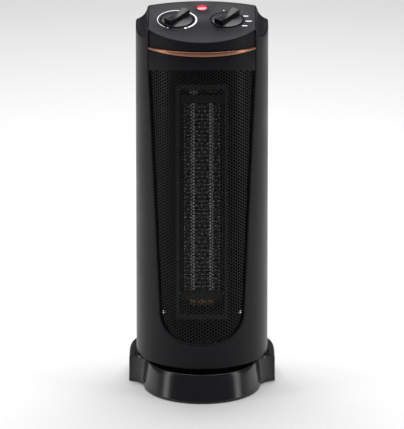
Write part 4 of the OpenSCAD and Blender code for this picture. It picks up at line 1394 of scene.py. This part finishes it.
    def build(self, finishes: Finishes) -> list[bpy.types.Object]:
        """Builds the panel and its print.

        Args:
            finishes: the finishes to dress them with.

        Returns:
            The installed pieces.
        """
        item = self.body().moved(self.form.place()).object("sloping_panel", [finishes.get("panel")], crease=28)
        self.face_up(item)
        thick = item.modifiers.new("wall", "SOLIDIFY")
        thick.thickness = self.wall * MM
        thick.offset = -1.0
        thick.use_even_offset = False
        marks = self.marks().object("panel_marks", [finishes.get("ink")])
        return [install(item, "tower", "control_panel"), install(marks, "tower", slot="panel_plastic")]

    def face_up(self, item: bpy.types.Object) -> None:
        """Turns the open skin so that its flat top faces up."""
        top = max(item.data.polygons, key=lambda face: face.area)
        if top.normal.z < 0:
            item.data.flip_normals()


@dataclass
class Knob:
    """A low disc with a grip that is hollowed along its sides and dips in the middle."""

    panel: ControlPanel
    side: int
    name: str
    body: str
    node: str
    radius: float = 19.0
    rise: float = 1.0
    low: float = -1.4
    grip_w: float = 11.0
    grip_h: float = 7.2
    dip: float = 2.6
    scoop: float = 1.6
    angle: float = 37.0
    end_share: float = 0.94
    end_fall: float = 1.1
    end_pull: float = 0.5
    crown: float = 0.35
    foot: float = 0.7
    edge_r: float = 0.9

    def disc(self) -> Solid:
        """Makes the skirt, gently domed with a rounded edge, and its boss."""
        r, z = self.radius, self.rise
        profile = [(0.0, z + 0.5), (r * 0.4, z + 0.42), (r * 0.7, z + 0.2), (r - 1.4, z - 0.05),
                   (r - 0.7, z - 0.2), (r - 0.2, z - 0.5), (r, z - 0.9), (r, self.low + 0.2),
                   (r - 0.3, self.low), (5.0, self.low), (5.0, -6.0), (0.0, -6.0)]
        return lathe(profile, 96)

    def grip(self) -> Solid:
        """Makes the grip as loops across it, from one end to the other."""
        loops = []
        end_r = self.radius - 0.5
        for t in [-1.0, -0.995, -0.98, -0.955] + spread(-0.92, 0.92, 30) + [0.955, 0.98, 0.995, 1.0]:
            past = max(0.0, abs(t) - self.end_share) / (1 - self.end_share)
            edge = math.sqrt(max(0.0, 1 - past ** 2))
            half = self.grip_w / 2 - self.scoop * (1 - t * t)
            high = self.rise + self.grip_h - self.dip * (1 - t * t) - self.end_fall * (1 - edge)
            base = half + self.foot
            flat = rounded([(-base, self.rise - 0.8), (base, self.rise - 0.8), (half, high), (-half, high)],
                           [0, 0, self.edge_r, self.edge_r], 5)
            loop = []
            for x, z in flat:
                reach = math.sqrt(end_r ** 2 - x ** 2) - self.end_pull * (1 - edge)
                crown = self.crown * (1 - (x / base) ** 2) if z > self.rise + 1 else 0.0
                loop.append(Vector((x, t * reach, z + crown)))
            loops.append(loop)
        return Solid().sweep(loops)

    def build(self, finishes: Finishes) -> bpy.types.Object:
        """Builds the knob at its rest angle.

        Args:
            finishes: the finishes to dress it with.

        Returns:
            The installed piece.
        """
        solid = self.disc()
        grip = self.grip()
        solid.extend(grip.verts, grip.faces)
        place = (self.panel.frame() @ Matrix.Translation((self.side * self.panel.knob_x, -self.panel.knob_v, 0))
                 @ Matrix.Rotation(math.radians(-self.angle), 4, "Z"))
        item = solid.moved(place).object(self.name, [finishes.get("knob")], crease=40)
        return install(item, self.body, self.node)


@dataclass
class PilotLens:
    """The red lens of the pilot lamp, a low dome with a flange under the panel."""

    panel: ControlPanel
    radius: float = 6.3

    def build(self, finishes: Finishes) -> bpy.types.Object:
        """Builds the lens.

        Args:
            finishes: the finishes to dress it with.

        Returns:
            The installed piece.
        """
        r = self.radius
        profile = [(0.0, 0.78)]
        profile += [(r * math.sin(a), -0.5 + 1.28 * math.cos(a) ** 0.8) for a in spread(0.25, 1.45, 9)]
        profile += [(r, -0.6), (r, -2.6), (r + 1.2, -2.6), (r + 1.2, -4.9), (0.0, -4.9)]
        place = self.panel.frame() @ Matrix.Translation((0, -self.panel.lens_v, 0))
        item = lathe(profile, 64).moved(place).object("pilot_lens_dome", [finishes.get("lens")], crease=45)
        return install(item, "tower", "pilot_lens")


# ---------- base ----------

@dataclass
class Base:
    """The base: flared wavy apron in front, shell with side wings behind."""

    form: TowerForm
    rim_z: float = 33.0
    wall: float = 2.5
    oval_y: float = -15.0
    oval_power: float = 4.0
    top_reach: float = 87.1
    lobe_top: float = 66.0
    lobe_low: float = 70.0
    blend_r: float = 24.0
    deck: float = 8.0
    wing_lean: float = 8.2
    wing_set: float = 1.0
    rim_round: float = 3.0

    def __post_init__(self) -> None:
        """Reads the base's driving sizes from the frame."""
        low, high = box_mm("base_shell")
        apron_low, apron_high = box_mm("base_apron")
        self.half_w = (high.x - low.x) / 2
        self.back = high.y - self.form.axis_y
        self.seam = self.form.axis_y - low.y
        self.low_z = low.z
        self.low_reach = self.form.axis_y - apron_low.y
        self.wing_y = -self.seam - self.form.gap
        self.wing_top = self.half_w - self.wing_lean
        self.wing_low = self.half_w - self.wing_set

    def apron_side(self, t: float, inset: float = 0.0) -> list[Vector]:
        """Gives half of the apron's outline at a height.

        Args:
            t: 0 at the lower edge, 1 at the rim.
            inset: distance inwards.

        Returns:
            Points from the middle of the front to the right wing.
        """
        reach = self.low_reach + (self.top_reach - self.low_reach) * t
        lobe = self.lobe_low + (self.lobe_top - self.lobe_low) * t
        wing = Vector((self.wing_low + (self.wing_top - self.wing_low) * t, self.wing_y))
        mid = Vector((0, lobe - reach))
        far = lobe + self.blend_r
        to = wing - mid
        along = (to.length_squared + far ** 2 - self.blend_r ** 2) / (2 * to.length)
        up = math.sqrt(far ** 2 - along ** 2)
        unit = to.normalized()
        hub = mid + unit * along + Vector((unit.y, -unit.x)) * up
        touch = math.degrees(math.atan2(hub.y - mid.y, hub.x - mid.x))
        last = 180 - math.degrees(math.asin((wing.y - hub.y) / (self.blend_r + inset)))
        points = arc(mid, lobe - inset, -90, touch, 34)
        points += arc(hub, self.blend_r + inset, 180 + touch, last, 18)[1:]
        return [Vector(p) for p in points]

    def apron(self, material: bpy.types.Material) -> bpy.types.Object:
        """Makes the apron from closed upright sections along its outline."""
        height = self.rim_z - self.low_z
        stages = [(0.0, 2.5, 0.0), (0.0, 0.8, 0.0), (0.2 / height, 0.25, 0.2), (0.9 / height, 0.0, 0.9)]
        stages += [(t, 0.0, t * height) for t in spread(0.08, 0.93, 9)]
        stages += [(1.0, 0.0, height - 1.3), (1.0, 0.18, height - 0.6), (1.0, 0.6, height - 0.18),
                   (1.0, 1.1, height), (1.0, 1.7, height - 0.05), (1.0, 2.3, height - 0.4),
                   (1.0, 2.5, height - 1.0)]
        stages += [(0.6, 2.5, height * 0.6), (0.3, 2.5, height * 0.3)]
        rings = [(self.apron_side(t, inset), z + self.low_z) for t, inset, z in stages]
        loops = [[Vector((side[i].x, side[i].y, z)) for side, z in rings] for i in range(len(rings[0][0]))]
        loops = mirrored(loops[1:]) + loops
        return Solid().sweep(loops).moved(self.form.place()).object("wavy_apron", [material])

    def oval(self, share: float, inset: float) -> Vector:
        """Gives a point of the base's rear outline; share runs from the right to the left."""
        a = math.pi * share
        c, s = math.cos(a), math.sin(a)
        x = (self.half_w - inset) * math.copysign(abs(c) ** (2 / self.oval_power), c)
        y = self.oval_y + (self.back - self.oval_y - inset) * abs(s) ** (2 / self.oval_power)
        return Vector((x, y))

    def deck_edge(self, point: Vector) -> Vector:
        """Gives the deck's inner edge beside an outline point, on the line to the tower's axis."""
        reach = self.form.radius + 1.2
        for step in range(200):
            here = point * (1 - step / 200)
            inside = (abs(here.x) / (self.half_w - self.deck)) ** self.oval_power
            depth = self.back - self.oval_y - self.deck
            inside += (max(0.0, here.y - self.oval_y) / depth) ** self.oval_power
            if here.length <= reach and inside <= 1.0:
                return here
        return point * 0.5

    def shell(self, material: bpy.types.Material) -> bpy.types.Object:
        """Makes the shell from closed sections, and closes the fronts of its wings."""
        start = next(i for i in range(1000) if self.oval(i / 1000, 0).y > -self.seam) / 1000
        shares = [0.5 - (0.5 - start) * math.cos(math.pi / 2 * t) ** 0.8 for t in spread(0, 1, 48)]
        loops = []
        for share in shares:
            rim = self.oval(share, 0.0)
            if share == shares[0]:
                rim = Vector((rim.x, -self.seam))
            edge = self.deck_edge(rim)
            way = (edge - rim).normalized()
            span = (edge - rim).length
            top = self.rim_z
            loop = [(self.wall, self.low_z), (0.7, self.low_z), (0.2, self.low_z + 0.2),
                    (0.0, self.low_z + 0.8)]
            loop += [(0.0, z) for z in spread(self.low_z + 3, top - 3.2, 6)]
            loop += [(self.rim_round * (1 - math.cos(a)), top - self.rim_round * (1 - math.sin(a)))
                     for a in spread(0.2, 1.5, 5)]
            loop += [(e, top) for e in spread(3.2, span - 0.8, 3)]
            loop += [(span - 0.25, top - 0.25), (span, top - 0.8), (span, top - self.wall),
                     (self.wall + 1.5, top - self.wall), (self.wall, top - self.wall - 1.5)]
            loops.append([Vector((rim.x + way.x * e, rim.y + way.y * e, z)) for e, z in loop])
        loops += mirrored(loops[:-1])
        solid = Solid().sweep(loops)
        inner = self.form.radius + 0.6
        x = self.half_w - 0.1
        face = rounded([(inner, self.low_z), (x, self.low_z), (x, self.rim_z - 0.1), (inner, self.rim_z - 0.1)],
                       [0, 0.6, self.rim_round, 0], 6)
        for side in (-1, 1):
            solid.sweep([[(side * u, y, v) for u, v in face] for y in (-self.seam, -self.seam + self.wall)])
        return solid.moved(self.form.place()).object("base_wings", [material])

    def build(self, finishes: Finishes) -> list[bpy.types.Object]:
        """Builds both covers.

        Args:
            finishes: the finishes to dress them with.

        Returns:
            The installed pieces.
        """
        return [install(self.apron(finishes.get("base")), "base", "base_apron"),
                install(self.shell(finishes.get("base")), "base", "base_shell")]


# ---------- carried-over nodes ----------

FINISHED_NODES = {
    "well": ("base_well", "bottom_plate", "tower_floor", "blower_wheel", "mode_switch"),
    "rubber": ("rubber_feet", "cord_gland"),
    "iron": ("ballast_plate",),
    "zinc": ("base_screws", "osc_motor_screws", "pivot_tube", "pivot_retainer", "panel_screws",
             "wheel_shaft", "motor_screws", "thermostat_shaft", "mode_shaft"),
    "acetal": ("swivel_bearing", "osc_crank", "osc_lever"),
    "galvanised": ("osc_motor", "blower_motor", "motor_plate"),
    "urea": ("tip_switch", "terminal_block", "thermostat"),
    "plunger": ("tip_plunger",),
    "oxide": ("housing_screws",),
    "duct": ("outlet_duct", "blower_scroll", "blower_top_plate"),
    "stone": ("ptc_bars",),
    "aluminium": ("heat_fins",),
    "phenolic": ("heater_top_bracket", "heater_low_bracket"),
    "brass": ("heater_terminals", "thermal_fuse"),
    "steatite": ("thermal_cutout",),
    "bronze": ("upper_bearing",),
    "glass": ("pilot_lamp",),
}


def dress_nodes(finishes: Finishes) -> None:
    """Gives every carried-over CAD node its finish.

    Args:
        finishes: the finishes to choose from.
    """
    for finish, names in FINISHED_NODES.items():
        for name in names:
            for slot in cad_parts[name].material_slots:
                slot.material = finishes.get(finish)
            log.info("%s wears %s", name, finish)


# ---------- studio ----------

@dataclass
class Studio:
    """Pale floor, soft lights and the camera."""

    form: TowerForm
    distance: float = 10.0
    lift: float = 18.3
    view_w: float = 480.76
    aim_z: float = 205.2
    ambient: float = 0.12
    strip_power: float = 2.8
    top_power: float = 45.0
    floor_half: float = 6.0
    floor_shade: float = 0.9

    def camera(self) -> None:
        """Adds the camera, far off with a long lens, looking along +Y and down."""
        data = bpy.data.cameras.new("camera")
        data.sensor_width = 36.0
        data.sensor_fit = "HORIZONTAL"
        data.lens = data.sensor_width * self.distance / (self.view_w * MM)
        data.clip_end = 50
        item = bpy.data.objects.new("camera", data)
        lift = math.radians(self.lift)
        aim = Vector((0.0, self.form.axis_y * MM, self.aim_z * MM))
        item.location = aim + Vector((0, -math.cos(lift), math.sin(lift))) * self.distance
        item.rotation_euler = (math.pi / 2 - lift, 0, 0)
        bpy.context.scene.collection.objects.link(item)
        bpy.context.scene.camera = item

    def light(self, name: str, power: float, size: tuple[float, float], where: Point, aim: Point) -> None:
        """Adds one soft rectangular light.

        Args:
            name: the light's name.
            power: watts.
            size: width and height in metres.
            where: its place.
            aim: the point it faces.
        """
        data = bpy.data.lights.new(name, "AREA")
        data.shape = "RECTANGLE"
        data.size, data.size_y = size
        data.energy = power
        item = bpy.data.objects.new(name, data)
        item.location = where
        item.rotation_euler = (Vector(aim) - Vector(where)).to_track_quat("-Z", "Y").to_euler()
        bpy.context.scene.collection.objects.link(item)

    def build(self, finishes: Finishes) -> None:
        """Builds the floor, the lights and the camera."""
        self.camera()
        world = bpy.data.worlds.new("studio")
        world.use_nodes = True
        world.node_tree.nodes["Background"].inputs["Color"].default_value = (1, 1, 1, 1)
        world.node_tree.nodes["Background"].inputs["Strength"].default_value = self.ambient
        bpy.context.scene.world = world
        bpy.context.scene.view_settings.view_transform = "Standard"
        material = bpy.data.materials.new("pale_floor")
        material.use_nodes = True
        shader = material.node_tree.nodes["Principled BSDF"]
        shader.inputs["Base Color"].default_value = (*[self.floor_shade] * 3, 1)
        shader.inputs["Roughness"].default_value = 0.9
        mesh = bpy.data.meshes.new("floor")
        far = self.floor_half
        mesh.from_pydata([(-far, -far, 0), (far, -far, 0), (far, far, 0), (-far, far, 0)], [], [(0, 1, 2, 3)])
        mesh.materials.append(material)
        floor = bpy.data.objects.new("floor", mesh)
        bpy.context.scene.collection.objects.link(floor)
        aim = (0, 0, 0.25)
        for name, side in (("left_strip", -1), ("right_strip", 1)):
            self.light(name, self.strip_power, (0.25, 1.2), (1.1 * side, -0.35, 0.5), aim)
        self.light("top_soft", self.top_power, (1.6, 1.6), (0, 0.5, 1.8), (0, 0.2, 0))


def clear_start() -> None:
    """Takes away what a new file starts with."""
    for name in ("Cube", "Light", "Camera"):
        item = bpy.data.objects.get(name)
        if item:
            bpy.data.objects.remove(item)


def main() -> None:
    """Builds every sub-assembly in order and reports it."""
    logging.basicConfig(level=logging.INFO, format="%(name)s: %(message)s")
    clear_start()
    finishes = Finishes()
    form = TowerForm()
    opening = Opening(form)
    Studio(form).build(finishes)
    trim = FrontTrim(form, opening)
    panel = ControlPanel(form, trim)
    pieces = [FrontHousing(form, opening), RearHousing(form), trim, Grille(form, opening), panel,
              Knob(panel, -1, "thermostat_dial_knob", "thermostat_dial", "thermostat_knob"),
              Knob(panel, 1, "mode_dial_knob", "mode_dial", "mode_knob"), PilotLens(panel), Base(form)]
    for piece in pieces:
        piece.build(finishes)
    dress_nodes(finishes)


if __name__ == "__main__":
    main()
